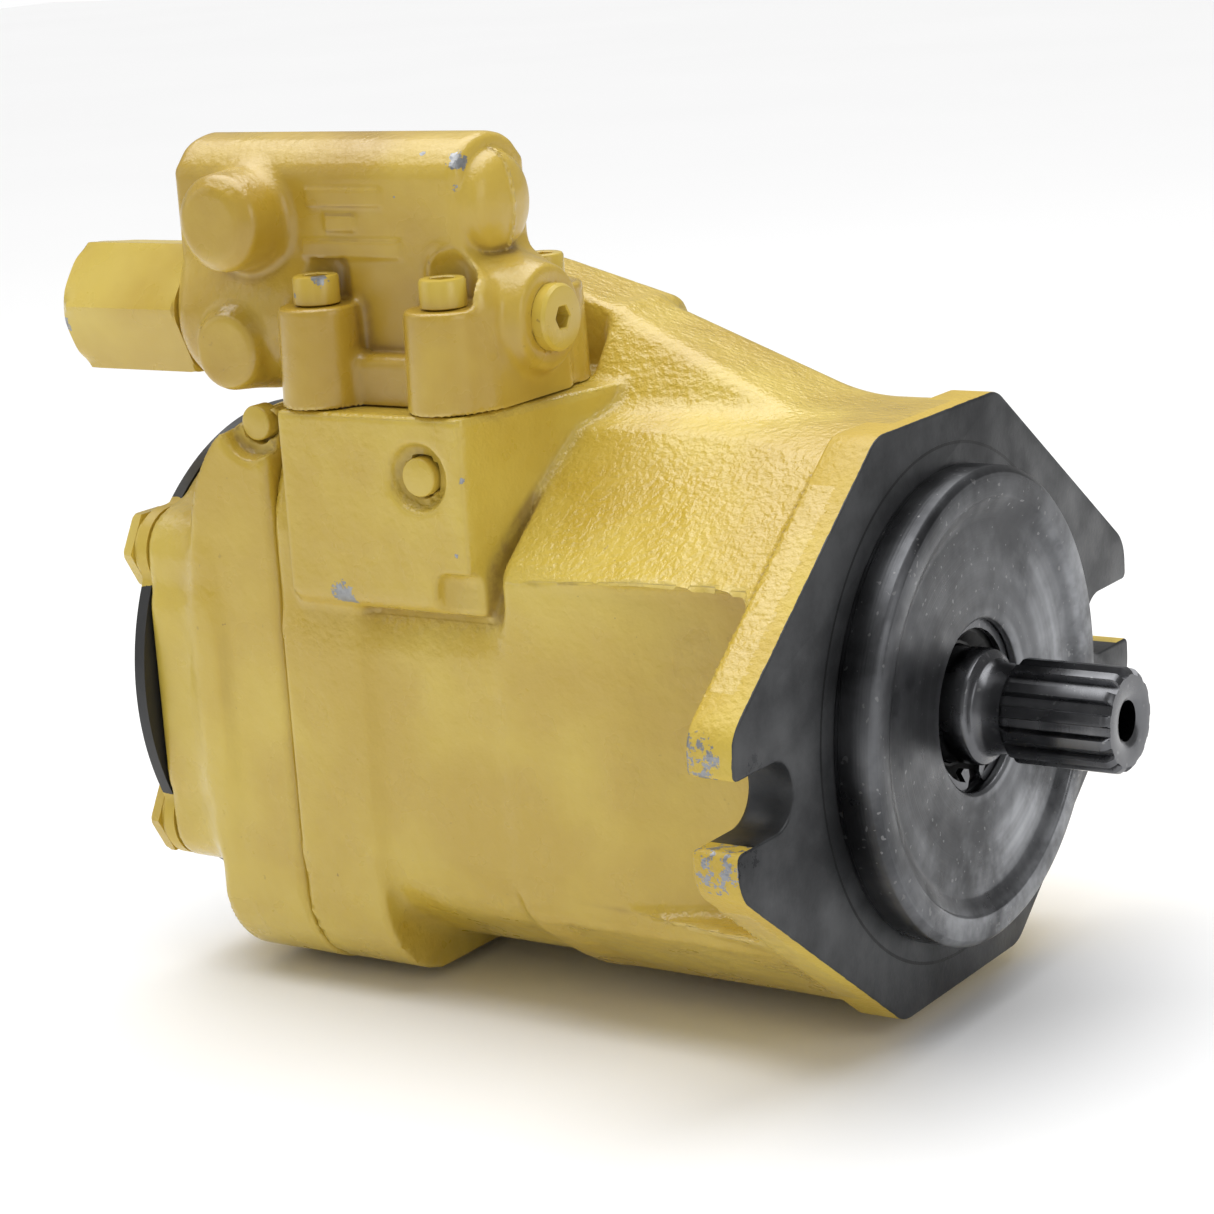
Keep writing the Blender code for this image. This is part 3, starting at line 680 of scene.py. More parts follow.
@dataclass(frozen=True)
class YellowPaint(Finish):
    """Machine paint over a casting: patchy tone, orange peel, painted shade with some dirt in hollows, a lighter yellow
    on convex edges and chips to the metal.
    """

    name: str = "yellow_paint"
    lit: tuple[float, float, float] = (0.64, 0.475, 0.072)
    deep: tuple[float, float, float] = (0.54, 0.37, 0.042)
    # Dark brown for both the painted shade in hollows and the random dirt spots.
    shade_and_dirt: tuple[float, float, float] = (0.19, 0.10, 0.03)
    metal: tuple[float, float, float] = (0.17, 0.175, 0.18)
    roughness: float = 0.31
    grain: float = 0.16
    chips: tuple[tuple[float, float, float, float], ...] = ()

    def chip_mask(self, bench: Bench) -> object:
        """Ragged spots where the paint is gone: 1 within each spot's uneven radius."""
        ragged = bench.noise(620.0, 3.0, 0.7)
        mask: object = 0.0
        for x, y, z, radius in self.chips:
            edge = bench.math("MULTIPLY_ADD", ragged, 2.2 * radius * MM, -0.35 * radius * MM)
            inside = bench.math("LESS_THAN", bench.away((x, y, z)), edge)
            mask = bench.math("MAXIMUM", mask, inside)
        return mask

    def build(self) -> bpy.types.Material:
        """Tone from two noises, painted shade and dirt from the stored hollows, and a normal from coarse and fine
        grain.
        """
        bench = Bench(self.name)
        patch = bench.span(bench.noise(22.0, 4.0, 0.55), 0.36, 0.64)
        colour = bench.mix(patch, self.deep, self.lit)
        # Painted shade: the paint darkens towards the dark brown where the surface is closed in, as shade falls in
        # hollows and creases; smear noise makes it patchy like dirt, and it also roughens the paint.
        hollow = bench.attribute("hollow")
        smear = bench.noise(160.0, 5.0, 0.65)
        hollow_shade_and_dirt = bench.math("MULTIPLY", bench.span(hollow, 0.10, 0.62), bench.span(smear, 0.30, 0.62, 0.35, 1.0))
        colour = bench.mix(bench.math("MULTIPLY", hollow_shade_and_dirt, 0.62), colour, self.shade_and_dirt)
        spots = bench.span(bench.noise(430.0, 2.0, 0.6), 0.70, 0.76)
        spots = bench.math("MULTIPLY", spots, bench.span(bench.noise(30.0, 2.0), 0.52, 0.66, 0.0, 0.55))
        colour = bench.mix(spots, colour, self.shade_and_dirt)
        ridge = bench.span(bench.attribute("ridge"), 0.42, 0.85, 0.0, 0.32)
        colour = bench.mix(ridge, colour, (0.78, 0.62, 0.22))
        chip = self.chip_mask(bench)
        colour = bench.mix(chip, colour, bench.mix(bench.noise(900.0, 2.0), self.metal, (0.42, 0.43, 0.44)))
        rough = bench.span(bench.noise(90.0, 3.0), 0.3, 0.7, self.roughness - 0.07, self.roughness + 0.12)
        rough = bench.math("MULTIPLY_ADD", hollow_shade_and_dirt, 0.3, rough)
        sand = bench.span(bench.attribute("skyward"), 0.15, 0.5, 0.25, 1.0)
        coarse = bench.bump(bench.noise(210.0, 3.0, 0.5), self.grain * 2.2)
        fine = bench.bump(bench.math("MULTIPLY", bench.noise(640.0, 2.0, 0.55), sand), self.grain * 2.4, coarse)
        sunk = bench.bump(bench.math("SUBTRACT", 1.0, chip), 0.08, fine)
        return bench.dress(Base_Color=colour, Roughness=rough, Metallic=bench.math("MULTIPLY", chip, 0.7), Normal=sunk,
                           Coat_Weight=bench.math("MULTIPLY", bench.math("SUBTRACT", 1.0, chip), 0.45), Coat_Roughness=0.24,
                           Coat_Normal=fine)


@dataclass(frozen=True)
class TurnedSteel(Finish):
    """Dark oiled steel with fine rings from turning round the shaft's line."""

    name: str = "turned_steel"
    colour: tuple[float, float, float] = (0.050, 0.051, 0.054)
    light: tuple[float, float, float] = (0.42, 0.43, 0.45)
    roughness: float = 0.33
    rings: float = 0.03
    metallic: float = 1.0

    def build(self) -> bpy.types.Material:
        """Rings from noise read along the distance from the shaft's line, with hand marks and oil over them, and a
        painted reflection that lightens the steel towards +Y and lower Z.
        """
        bench = Bench(self.name)
        x, y, z = bench.axes()
        out = bench.math("SQRT", bench.math("ADD", bench.math("POWER", y, 2.0), bench.math("POWER", z, 2.0)))
        line = bench.tree.nodes.new("ShaderNodeCombineXYZ")
        bench.put(line.inputs[0], out)
        bench.put(line.inputs[1], bench.math("MULTIPLY", x, 1.0))
        rings = bench.noise(2600.0, 2.0, 0.6, line.outputs[0])
        bands = bench.noise(180.0, 2.0, 0.5, line.outputs[0])
        cloud = bench.noise(38.0, 5.0, 0.6)
        share = bench.math("MULTIPLY", bench.span(cloud, 0.35, 0.68), bench.span(bands, 0.3, 0.7, 0.4, 1.0))
        # Painted reflection: more of the lighter tone is let in towards +Y and lower Z. It stands in for a lamp's
        # reflection on the turned faces.
        lower = bench.span(bench.math("SUBTRACT", y, z), -0.03, 0.05, 0.25, 1.0)
        colour = bench.mix(bench.math("MULTIPLY", share, lower), self.colour, self.light)
        scratch = bench.span(bench.noise(700.0, 1.0, 0.3), 0.71, 0.74, 0.0, 0.4)
        colour = bench.mix(scratch, colour, (0.3, 0.3, 0.3))
        rough = bench.span(bench.noise(60.0, 4.0, 0.6), 0.3, 0.7, self.roughness - 0.08, self.roughness + 0.14)
        normal = bench.bump(rings, self.rings, bench.bump(bench.noise(240.0, 3.0), 0.02))
        return bench.dress(Base_Color=colour, Metallic=self.metallic, Roughness=rough, Normal=normal)


@dataclass(frozen=True)
class PlainMetal(Finish):
    """Steel or bronze of the inner parts: a base tone, a cloudy second tone and fine marks."""

    name: str
    colour: tuple[float, float, float]
    light: tuple[float, float, float]
    roughness: float = 0.3
    metallic: float = 1.0

    def build(self) -> bpy.types.Material:
        """Tone and gloss from noise at two scales."""
        bench = Bench(self.name)
        colour = bench.mix(bench.span(bench.noise(70.0, 4.0, 0.6), 0.35, 0.65), self.colour, self.light)
        rough = bench.span(bench.noise(150.0, 3.0), 0.3, 0.7, self.roughness - 0.06, self.roughness + 0.12)
        normal = bench.bump(bench.noise(1400.0, 2.0, 0.6), 0.012)
        return bench.dress(Base_Color=colour, Metallic=self.metallic, Roughness=rough, Normal=normal)


@dataclass(frozen=True)
class CoverPaint(Finish):
    """Black satin on the end cover, with the yellow of the housing over its four ears."""

    name: str = "cover_paint"
    black: tuple[float, float, float] = (0.012, 0.0125, 0.0135)
    yellow: tuple[float, float, float] = (0.60, 0.43, 0.06)
    ears: tuple[Corner, ...] = ()
    reach: float = 11.5

    def build(self) -> bpy.types.Material:
        """Yellow within an uneven distance of each ear's bolt line, black elsewhere."""
        bench = Bench(self.name)
        _, y, z = bench.axes()
        ragged = bench.noise(240.0, 3.0, 0.6)
        mask: object = 0.0
        for ear_y, ear_z in self.ears:
            dy = bench.math("POWER", bench.math("SUBTRACT", y, ear_y * MM), 2.0)
            dz = bench.math("POWER", bench.math("SUBTRACT", z, ear_z * MM), 2.0)
            away = bench.math("SQRT", bench.math("ADD", dy, dz))
            edge = bench.math("MULTIPLY_ADD", ragged, 2.4 * MM, (self.reach - 1.2) * MM)
            mask = bench.math("MAXIMUM", mask, bench.math("LESS_THAN", away, edge))
        tone = bench.mix(bench.noise(60.0, 4.0), self.black, (0.03, 0.03, 0.03))
        colour = bench.mix(mask, tone, self.yellow)
        rough = bench.span(bench.noise(120.0, 3.0), 0.3, 0.7, 0.3, 0.46)
        return bench.dress(Base_Color=colour, Roughness=rough, Normal=bench.bump(bench.noise(500.0, 3.0), 0.05))


@dataclass(frozen=True)
class FlangeFinish(Finish):
    """The mounting flange: a bare machined front face, and paint that wears off its rims."""

    name: str = "flange_finish"
    chips: tuple[tuple[float, float, float, float], ...] = ()

    def build(self) -> bpy.types.Material:
        """Steel in front of a ragged line just behind the face, paint behind it, and scuffs at the lugs."""
        bench = Bench(self.name)
        x, y, z = bench.axes()
        ragged = bench.math("MULTIPLY_ADD", bench.noise(300.0, 3.0, 0.6), 0.5 * MM, -0.62 * MM)
        front = bench.math("GREATER_THAN", x, ragged)
        across, along = bench.math("ABSOLUTE", z), bench.math("ABSOLUTE", y)
        slot = bench.math("MULTIPLY", bench.math("LESS_THAN", across, 7.4 * MM), bench.math("LESS_THAN", along, 81.8 * MM))
        bare = bench.math("MAXIMUM", front, slot)
        paint = YellowPaint()
        patch = bench.span(bench.noise(22.0, 4.0, 0.55), 0.36, 0.64)
        yellow = bench.mix(patch, paint.deep, paint.lit)
        scuff = bench.span(bench.noise(520.0, 4.0, 0.75), 0.50, 0.56)
        worn: object = 0.0
        for spot in self.chips:
            near = bench.span(bench.away(spot[:3]), 0.0, spot[3] * MM, 1.0, 0.0)
            worn = bench.math("MAXIMUM", worn, near)
        worn = bench.math("GREATER_THAN", bench.math("MULTIPLY", worn, scuff), 0.32)
        yellow = bench.mix(worn, yellow, (0.30, 0.31, 0.33))
        out = bench.math("SQRT", bench.math("ADD", bench.math("POWER", y, 2.0), bench.math("POWER", z, 2.0)))
        cloud = bench.span(bench.noise(34.0, 5.0, 0.6), 0.35, 0.66)
        steel = bench.mix(cloud, (0.030, 0.031, 0.033), (0.075, 0.077, 0.08))
        rim = bench.math("COMPARE", out, 55.2 * MM, 0.35 * MM)
        steel = bench.mix(bench.math("MULTIPLY", rim, 0.7), steel, (0.008, 0.008, 0.008))
        rough = bench.span(bench.noise(90.0, 3.0), 0.3, 0.7, 0.36, 0.54)
        height = bench.math("MULTIPLY_ADD", rim, -3.0, bench.noise(900.0, 3.0, 0.6))
        metallic = bench.math("MAXIMUM", bench.math("MULTIPLY", bare, 0.55), worn)
        sand = bench.math("MULTIPLY", bench.noise(640.0, 2.0, 0.55), bench.math("SUBTRACT", 1.0, bare))
        return bench.dress(Base_Color=bench.mix(bare, yellow, steel), Roughness=rough, Metallic=metallic,
                           Normal=bench.bump(sand, 0.4, bench.bump(height, 0.05)))


@dataclass(frozen=True)
class Rubber(Finish):
    """Black rubber with a faint bloom."""

    name: str = "seal_rubber"

    def build(self) -> bpy.types.Material:
        """Two near-black tones and a fine grain."""
        bench = Bench(self.name)
        colour = bench.mix(bench.noise(200.0, 3.0), (0.008, 0.008, 0.008), (0.022, 0.022, 0.021))
        return bench.dress(Base_Color=colour, Roughness=bench.span(bench.noise(120.0), 0.3, 0.7, 0.4, 0.6),
                           Normal=bench.bump(bench.noise(1200.0, 2.0), 0.02))


@dataclass(frozen=True)
class Paper(Finish):
    """The pale matt sheet of the studio."""

    name: str = "studio_sheet"

    def build(self) -> bpy.types.Material:
        """White with hardly any variation."""
        bench = Bench(self.name)
        colour = bench.mix(bench.noise(3.0, 2.0), (0.90, 0.90, 0.90), (0.93, 0.93, 0.93))
        return bench.dress(Base_Color=colour, Roughness=0.9)


PAINT = YellowPaint(grain=0.10)
ROUGH_PAINT = YellowPaint(
    name="housing_paint", grain=0.17,
    chips=((-115.5, -57.5, 28.0, 3.4), (-113.0, -57.5, 27.0, 2.2), (-86.1, -57.5, 26.0, 1.3), (-81.5, -57.2, 55.0, 0.9),
           (-84.0, -57.5, 39.0, 0.8), (-136.0, -53.5, 48.0, 1.0), (-129.0, -57.5, 60.0, 0.9)),
)
VALVE_PAINT = YellowPaint(
    name="valve_paint", grain=0.07, lit=(0.57, 0.395, 0.05), deep=(0.45, 0.285, 0.028),
    chips=((-87.4, -41.6, 119.4, 2.6), (-86.6, -43.6, 113.6, 1.4), (-97.0, -41.0, 120.6, 0.9), (-103.0, -44.0, 112.0, 0.5)),
)
SCREW_PAINT = YellowPaint(name="screw_paint", grain=0.05, chips=((-119.0, -51.5, 95.6, 2.3), (-124.5, -53.2, 92.1, 0.7)))
CAP_PAINT = YellowPaint(name="cap_paint", grain=0.05, chips=((-199.2, -44.5, 83.0, 2.2),))
DARK_STEEL = TurnedSteel()
SHAFT_STEEL = TurnedSteel(name="shaft_steel", colour=(0.09, 0.091, 0.097), light=(0.26, 0.265, 0.275), roughness=0.21,
                          rings=0.008)
INNER_DARK = PlainMetal("inner_dark_steel", (0.10, 0.10, 0.105), (0.17, 0.17, 0.175), 0.35)
INNER_BRIGHT = PlainMetal("inner_bright_steel", (0.42, 0.42, 0.43), (0.56, 0.56, 0.56), 0.2)
BRONZE = PlainMetal("inner_bronze", (0.42, 0.25, 0.10), (0.55, 0.36, 0.16), 0.3)
RUBBER = Rubber()


# ---------------------------------------------------------------- the castings

@dataclass
class Housing:
    """The main casting: body behind the flange, valve pad, stroking-piston hump and the spaces within."""

    split: float = -135.85
    step: float = 1.3
    belly: tuple[Corner, ...] = ((22, 62), (54, 34.8), (54, -40), (23, -62), (-23, -62), (-54, -40), (-54, 34.8), (-22, 62))
    back: tuple[Corner, ...] = (
        (18, 57), (53.6, 25), (53.6, -39.7), (22.8, -61.6), (-22.8, -61.6), (-53.6, -39.7), (-53.6, 25), (-18, 57),
    )
    pad: tuple[Corner, ...] = ((-57.5, 28), (-54.5, 25), (-20, 25), (0, 50), (0, 68), (-57.5, 68))
    flange: tuple[Corner, ...] = (
        (26.5, 62.35), (87.5, 16.05), (87.5, -16.05), (26.5, -62.35), (-26.5, -62.35), (-87.5, -16.05), (-87.5, 16.05),
        (-26.5, 62.35),
    )
    bolts: tuple[Corner, ...] = ((43, 31.5), (43, -31.5), (-43, 31.5), (-43, -31.5))

    def outside(self, shape: CastShape) -> None:
        """Adds what shows from outside."""
        front = CastShape()
        front.add(prism("X", self.belly, -76.0, -6.0, 2.6, 1.5), 0.0)
        front.add(self.flare(), 0.6)
        front.add(prism("X", self.flange, -10.7, -3.0, 9.0, 0.0), 0.0)
        front.keep(prism("X", self.flange, -200.0, 0.0, 9.0, 0.0), 0.0)
        shape.add(front.distance, 0.0)
        shape.add(prism("X", self.back, self.split, -70.0, 8.0, 1.0), 5.0)
        rim_top = [(-53.9, 52), (-40, 66), (40, 66), (53.9, 52), (53.9, -200), (-53.9, -200)]
        rim_low = [(-53.9, -64), (53.9, -64), (53.9, 200), (-53.9, 200)]
        rim = CastShape()
        rim.add(prism("X", rim_top, self.split, -114.0, 9.0, 1.2), 0.0)
        rim.keep(prism("X", rim_low, self.split - 10, -100.0, 23.0, 0.0), 0.0)
        shape.add(rim.distance, 4.0)
        for side in (-1.0, 1.0):
            shape.cut(rod("X", (side * 73.0, 0.0), -30.0, 2.0, 7.9), 0.3)
            shape.cut(block((-30.0, 2.0), tuple(sorted((side * 73.0, side * 95.0))), (-7.9, 7.9)), 0.3)

    def flare(self) -> Field:
        """The four slanted faces of the body, running out to the slanted edges of the flange."""
        planes = [((0, -26.5, side * 62.35), (0, -87.5, side * 16.05), (-72, -50, side * 36.6)) for side in (1, -1)]
        planes += [((0, 0, side * 62.3), (0, 9, side * 62.3), (-72, 0, side * 62.0)) for side in (1, -1)]
        planes += [((-75, 0, 0), (-75, 9, 0), (-75, 0, 9)), ((-2.6, 0, 0), (-2.6, 9, 0), (-2.6, 0, 9))]
        return both_sides(slab(planes, (-30, -20, 0), 0.6))

    def hump(self, shape: CastShape) -> None:
        """Adds the ridge over the stroking piston, falling towards the flange."""
        rear = slab(
            [((-131, 0, 40), (-131, 9, 40), (-131, 0, 90)), ((-77, 0, 40), (-77, 9, 40), (-77, 0, 90)),
             ((-131, 0, 91.6), (-131, 9, 91.6), (-108, 0, 91.6)), ((-108, 0, 92.0), (-108, 9, 92.0), (-79, 0, 81.6)),
             ((-131, 1, 90), (-77, 1, 90), (-131, -1.5, 50)), ((-131, 19, 91), (-77, 19, 91), (-131, 46, 50)),
             ((-131, 0, 42), (-77, 0, 42), (-131, 9, 42))], (-100, 15, 70), 2.0)
        front = slab(
            [((-80, 0, 40), (-80, 9, 40), (-80, 0, 90)), ((-20, 0, 40), (-20, 9, 40), (-20, 0, 90)),
             ((-79, 1, 81.9), (-79, 19, 81.9), (-22, 10, 60.9)), ((-79, 1.0, 81.9), (-79, -17, 60), (-22, -14, 59.5)),
             ((-79, 19, 81.9), (-22, 17, 61.5), (-79, 46, 50)), ((-80, 0, 45), (-20, 0, 45), (-80, 9, 45))],
            (-60, 15, 60), 2.0)
        shape.add(rear, 2.5)
        shape.add(front, 3.5)

    def pad_and_recess(self, shape: CastShape) -> None:
        """Adds the pad under the valve, with the scalloped recess of the side plug."""
        pad = CastShape()
        pad.add(prism("X", self.pad, -129.5, -70.0, 1.2, 1.0), 0.0)
        pad.keep(slab([((-81, -57.5, 0), (-76.2, -36, 0), (-81, -57.5, 9))], (-120, -40, 0), 0.0), 1.2)
        shape.add(pad.distance, 2.0)
        shape.cut(turned("Y", (-93.0, 55.0), [(-60, 0), (-60, 8.4), (-55.0, 6.6), (-55.0, 0)], 0.5), 1.0)
        shape.cut(rod("Y", (-93.0, 55.0), -60, -53.0, 4.5), 0.3)

    def lug_pockets(self, shape: CastShape) -> None:
        """Cuts the room for a bolt head behind each flange lug."""
        walls = [((-49, -54.2, 0), (-21, -46.5, 0), (-49, -54.2, 9)), ((-21, -46.5, 0), (-9, -46.5, 0), (-21, -46.5, 9)),
                 ((-11.3, 0, 0), (-11.3, 9, 0), (-11.3, 0, 9)),
                 ((-76, 0, 34.8), (-76, 9, 34.8), (-11, 0, 35.4)), ((-76, 0, -38), (-76, 9, -38), (-11, 0, -35))]
        shape.cut(both_sides(slab(walls, (-20, -70, 0), 3.0)), 0.8)
        sides = [((-49, -54, 0), (-20, -54, 0), (-49, -54, 9)), ((-90, 0, 0), (-90, 9, 0), (-90, 0, 9))]
        shape.cut(both_sides(slab(sides + walls[2:], (-20, -70, 0), 3.0)), 0.8)

    def inside(self, shape: CastShape) -> None:
        """Cuts the case bore, the swash-plate trough, the front bore and the bolt holes."""
        shape.cut(rod("X", (0, 0), -150.0, -56.8, 42.6), 0.0)
        shape.cut(rod("Y", (-60.0, 0), -41.2, 41.2, 33.4), 0.0)
        shape.cut(rod("X", (0, 0), -35.0, 6.0, 26.5), 0.0)
        shape.cut(rod("X", (20.0, 56.0), -130.0, -52.0, 8.0), 0.0)
        shape.cut(rod("X", (0, -51.0), -130.0, -52.0, 7.6), 0.0)
        shape.cut(block((-84, -56), (12.5, 27.5), (25, 55)), 0.0)
        shape.cut(block((-84, -44), (-8.5, 8.5), (-57, -25)), 0.0)
        for y, z in self.bolts:
            shape.cut(rod("X", (y, z), -150.0, -116.0, 5.5), 0.0)
        for x, y in ValveBlock.screws:
            shape.cut(rod("Z", (x, y), 50.0, 75.0, 3.5), 0.0)

    def build(self) -> None:
        """Makes the casting and dresses it."""
        shape = CastShape()
        self.outside(shape)
        self.hump(shape)
        self.pad_and_recess(shape)
        self.lug_pockets(shape)
        self.inside(shape)
        shape.keep(block((self.split, -2.6), (-90, 90), (-70, 95)), 0.0)
        cast_piece("housing_casting", shape, (-137.5, -91, -66), (-1.0, 91, 94), self.step, ROUGH_PAINT, "housing")


def cast_piece(name: str, shape: CastShape, lo: Sequence[float], hi: Sequence[float], step: float, finish: Finish,
               *nodes: str) -> bpy.types.Object:
    """A casting's mesh with its hollows and ridges stored, riding on the pump in place of the given nodes."""
    points, quads, normal = cast_surface(shape.distance, lo, hi, step)
    piece = new_piece(name, points, quads, finish, sharp=60.0, outward=True)
    add_values(piece, "hollow", hollow_amount(shape.distance, points, normal, (1.5, 3.5)))
    add_values(piece, "skyward", normal[:, 2])
    add_values(piece, "ridge", ridge_amount(shape.distance, points, normal, 1.6))
    settle_piece(piece, "pump", "yellow_paint", *nodes)
    return piece


def settle_piece(piece: bpy.types.Object, body: str, slot: str, *nodes: str) -> None:
    """Lets a piece ride on its body, hides the nodes that it replaces and reports it."""
    if nodes:
        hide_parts(*nodes)
    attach(piece, body)
    LOG.info("%s: %d faces on %s", piece.name, len(piece.data.polygons), body)


@dataclass
class PortPlate:
    """The rear casting with the ports, bolted to the housing at the split."""

    split: float = -136.2
    rear: float = -161.0
    step: float = 1.15
    bolts: tuple[Corner, ...] = Housing.bolts

    def build(self) -> None:
        """Makes the casting, its bosses and its openings."""
        shape = CastShape()
        top = [(-54, -200), (-54, 68.3), (54, 68.3), (54, -200)]
        low = [(-54, -64), (54, -64), (54, 200), (-54, 200)]
        shape.add(prism("X", top, self.rear, self.split, 4.5, 2.2), 0.0)
        shape.keep(prism("X", low, self.rear - 9, self.split + 9, 22.0, 0.0), 0.0)
        shoulder = [(self.rear, -200), (self.rear, 49.5), (-142.5, 68.6), (-60.0, 68.6), (-60.0, -200)]
        shape.keep(prism("Y", shoulder, -90, 90, 10.0, 0.0), 1.5)
        rounding = [(-54, -200), (-54, 150), (54, 150), (54, -200)]
        shape.keep(turned("X", (0, 0), [(-174, 0), (-174, 62), (-161, 82), (-134, 95), (-134, 0)], 4.0), 2.0)
        boss = CastShape()
        boss.add(rod("X", (0, 0), -174.6, -156.0, 58.0, 1.4), 0.0)
        boss.keep(prism("X", rounding, -180, -150, 1.0, 0.0), 1.5)
        shape.add(boss.distance, 6.0)
        for y, z in self.bolts:
            shape.add(rod("X", (y, z), -174.6, -156.0, 9.8, 1.0), 4.0)
        shape.cut(turned("Y", (-141.0, 63.3), [(-60, 0), (-60, 8.8), (-49.8, 7.0), (-49.8, 0)], 0.4), 1.2)
        shape.cut(rod("Y", (-141.0, 63.3), -60, -46.5, 4.6), 0.2)
        self.openings(shape)
        cast_piece("port_plate_casting", shape, (-176.5, -64.5, -66), (-134.5, 64.5, 70.5), self.step,
                   YellowPaint(name="port_plate_paint", grain=0.12), "port_plate")

    def openings(self, shape: CastShape) -> None:
        """Cuts the bearing seat, the ports and the bolt holes."""
        shape.cut(rod("X", (0, 0), -158.0, -130.0, 19.0), 0.0)
        shape.cut(rod("X", (0, 0), -180.0, -150.0, 16.0), 0.0)
        shape.cut(rod("Y", (-149.0, 18.0), 23.0, 60.0, 8.5), 0.8)
        shape.cut(rod("Z", (-149.0, -20.0), -70.0, -24.0, 10.5), 0.8)
        for y, z in self.bolts:
            shape.cut(rod("X", (y, z), -180.0, -130.0, 5.6), 0.0)


@dataclass
class ValveBlock:
    """The control valve on the pad: block, foot, bosses, collar, screws, plug and the adjuster's cap."""

    screws = ((-122.0, -49.0), (-88.5, -49.0), (-88.5, -13.0), (-122.0, -13.0))
    y: float = -31.0
    bore: float = 85.3
    base: float = 68.3
    step: float = 0.68

    def block(self, shape: CastShape) -> None:
        """Adds the upper block with its shallow crown, the foot, the nose and the collar."""
        crown = [(-44, 84), (-44, 117.6), (-39.5, 122.4), (-34, 124.4), (-28, 124.4), (-22.5, 122.4), (-18, 117.6), (-18, 84)]
        body = CastShape()
        body.add(prism("X", crown, -164.3, -86.8, 1.4, 2.6), 0.0)
        ends = [(-164.3, -44.0), (-86.8, -44.0), (-86.8, -18.0), (-164.3, -18.0)]
        body.keep(prism("Z", ends, 50.0, 200.0, 2.4, 0.0), 0.0)
        shape.add(body.distance, 0.0)
        shape.add(block((-129, -80.5), (-49.5, -12.5), (60, 79.0), 5.0, 2.5), 4.0)
        nose = [(-94, 60), (-94, 99.5), (-84, 98.0), (-78.3, 93.0), (-77.3, 60)]
        shape.add(prism("Y", nose, -49.5, -17.5, 3.0, 4.0), 4.5)
        shape.add(rod("X", (self.y, self.bore), -165.4, -120.0, 17.0, 5.5), 3.0)
        shape.add(block((-125, -86.8), (-44, -18), (60, 95), 2.4, 0.0), 0.0)
        shape.add(turned("X", (self.y, self.bore), [(-95, 0), (-95, 16), (-78, 12.6), (-74.2, 11.0), (-74.2, 0)], 1.2), 2.5)
        shape.add(self.dome(0.0), 1.0)
        ridge = CastShape()
        ridge.add(self.dome(0.5), 0.0)
        ridge.keep(block((-95, -70), (-32.0, -31.2), (90, 130)), 0.3)
        shape.add(ridge.distance, 0.4)

    def dome(self, more: float) -> Field:
        """The bulging round boss at the block's end, grown by a little for the parting ridge down its middle."""
        profile = [(-95, 0), (-95, 11.6), (-86.4, 11.6), (-84.2, 10.6), (-82.2, 8.0), (-81.2, 4.5), (-81.0, 0)]
        return turned("X", (self.y - 0.6, 109.6), [(x + more, r + more if r else 0) for x, r in profile], 2.0)

    def bosses(self, shape: CastShape) -> None:
        """Adds the four screw bosses and the two bosses on the near side, and the screws' clearance."""
        for x, y in self.screws:
            shape.add(turned("Z", (x, y), [(60, 0), (60, 9.4), (89.8, 8.6), (89.8, 0)], 1.3), 2.5)
        upper = [(-57.4, 0), (-57.4, 7.6), (-54.8, 10.5), (-42.0, 11.4), (-30.0, 11.4), (-30.0, 0)]
        shape.add(turned("Y", (-143.0, 107.4), upper, 0.7), 4.0)
        lower = [(-51.4, 0), (-51.4, 7.6), (-50.4, 8.6), (-36.0, 10.2), (-30.0, 10.2), (-30.0, 0)]
        shape.add(turned("Y", (-147.4, 78.9), lower, 0.8), 3.0)
        for x, y in self.screws:
            shape.cut(turned("Z", (x, y), [(89.8, 0), (89.8, 7.4), (98, 7.4), (102.5, 4.0), (103, 0)], 0.8), 0.8)

    def cast_marks(self, shape: CastShape) -> None:
        """Adds three blank pads, low and soft, on the near face."""
        for x, z in (((-127.0, -106.5), (109.9, 113.6)), ((-122.3, -113.8), (104.6, 108.0)), ((-129.0, -102.2), (98.9, 102.6))):
            shape.add(block(x, (-44.55, -40), z, 0.6, 0.35), 0.5)

    def openings(self, shape: CastShape) -> None:
        """Cuts the spool bore, the plug's seat and the screws' holes."""
        shape.cut(rod("X", (self.y, self.bore), -180.0, -70.0, 7.0), 0.3)
        for x, y in self.screws:
            shape.cut(rod("Z", (x, y), 50.0, 92.0, 3.4), 0.0)

    def build(self) -> None:
        """Makes the casting, then its screws, plug and cap."""
        shape = CastShape()
        self.block(shape)
        self.bosses(shape)
        self.cast_marks(shape)
        self.openings(shape)
        shape.keep(block((-180, -60), (-70, 10), (self.base, 130)), 0.0)
        cast_piece("valve_casting", shape, (-167, -59.5, 66.8), (-72.5, -2.0, 125.8), self.step, VALVE_PAINT, "valve_body")
        self.cap_screws()
        self.front_plug()
        self.adjuster_cap()

    def cap_screws(self) -> None:
        """Makes the four socket-head screws: rings for the head, then the hexagon of the socket down to its floor."""
        turn = 2 * math.pi * np.arange(72) / 72
        socket = hexagon_radius(turn, 5.0)
        for number, (x, y) in enumerate(self.screws, 1):
            rows = [(52.0, 2.9), (89.5, 2.9), (89.9, 4.7), (90.1, 5.0), (95.4, 5.0), (95.9, 4.7), (96.05, 4.3)]
            along = np.array([row[0] for row in rows] + [96.05, 95.8, 92.4])
            radius = np.array([np.full(72, row[1]) for row in rows] + [socket + 0.25, socket, socket])
            piece = turned_piece(f"cap_screw_{number}", "Z", (x, y), along, radius, SCREW_PAINT, phase=0.0)
            settle_piece(piece, "pump", "yellow_paint", f"valve_screw_{number}")

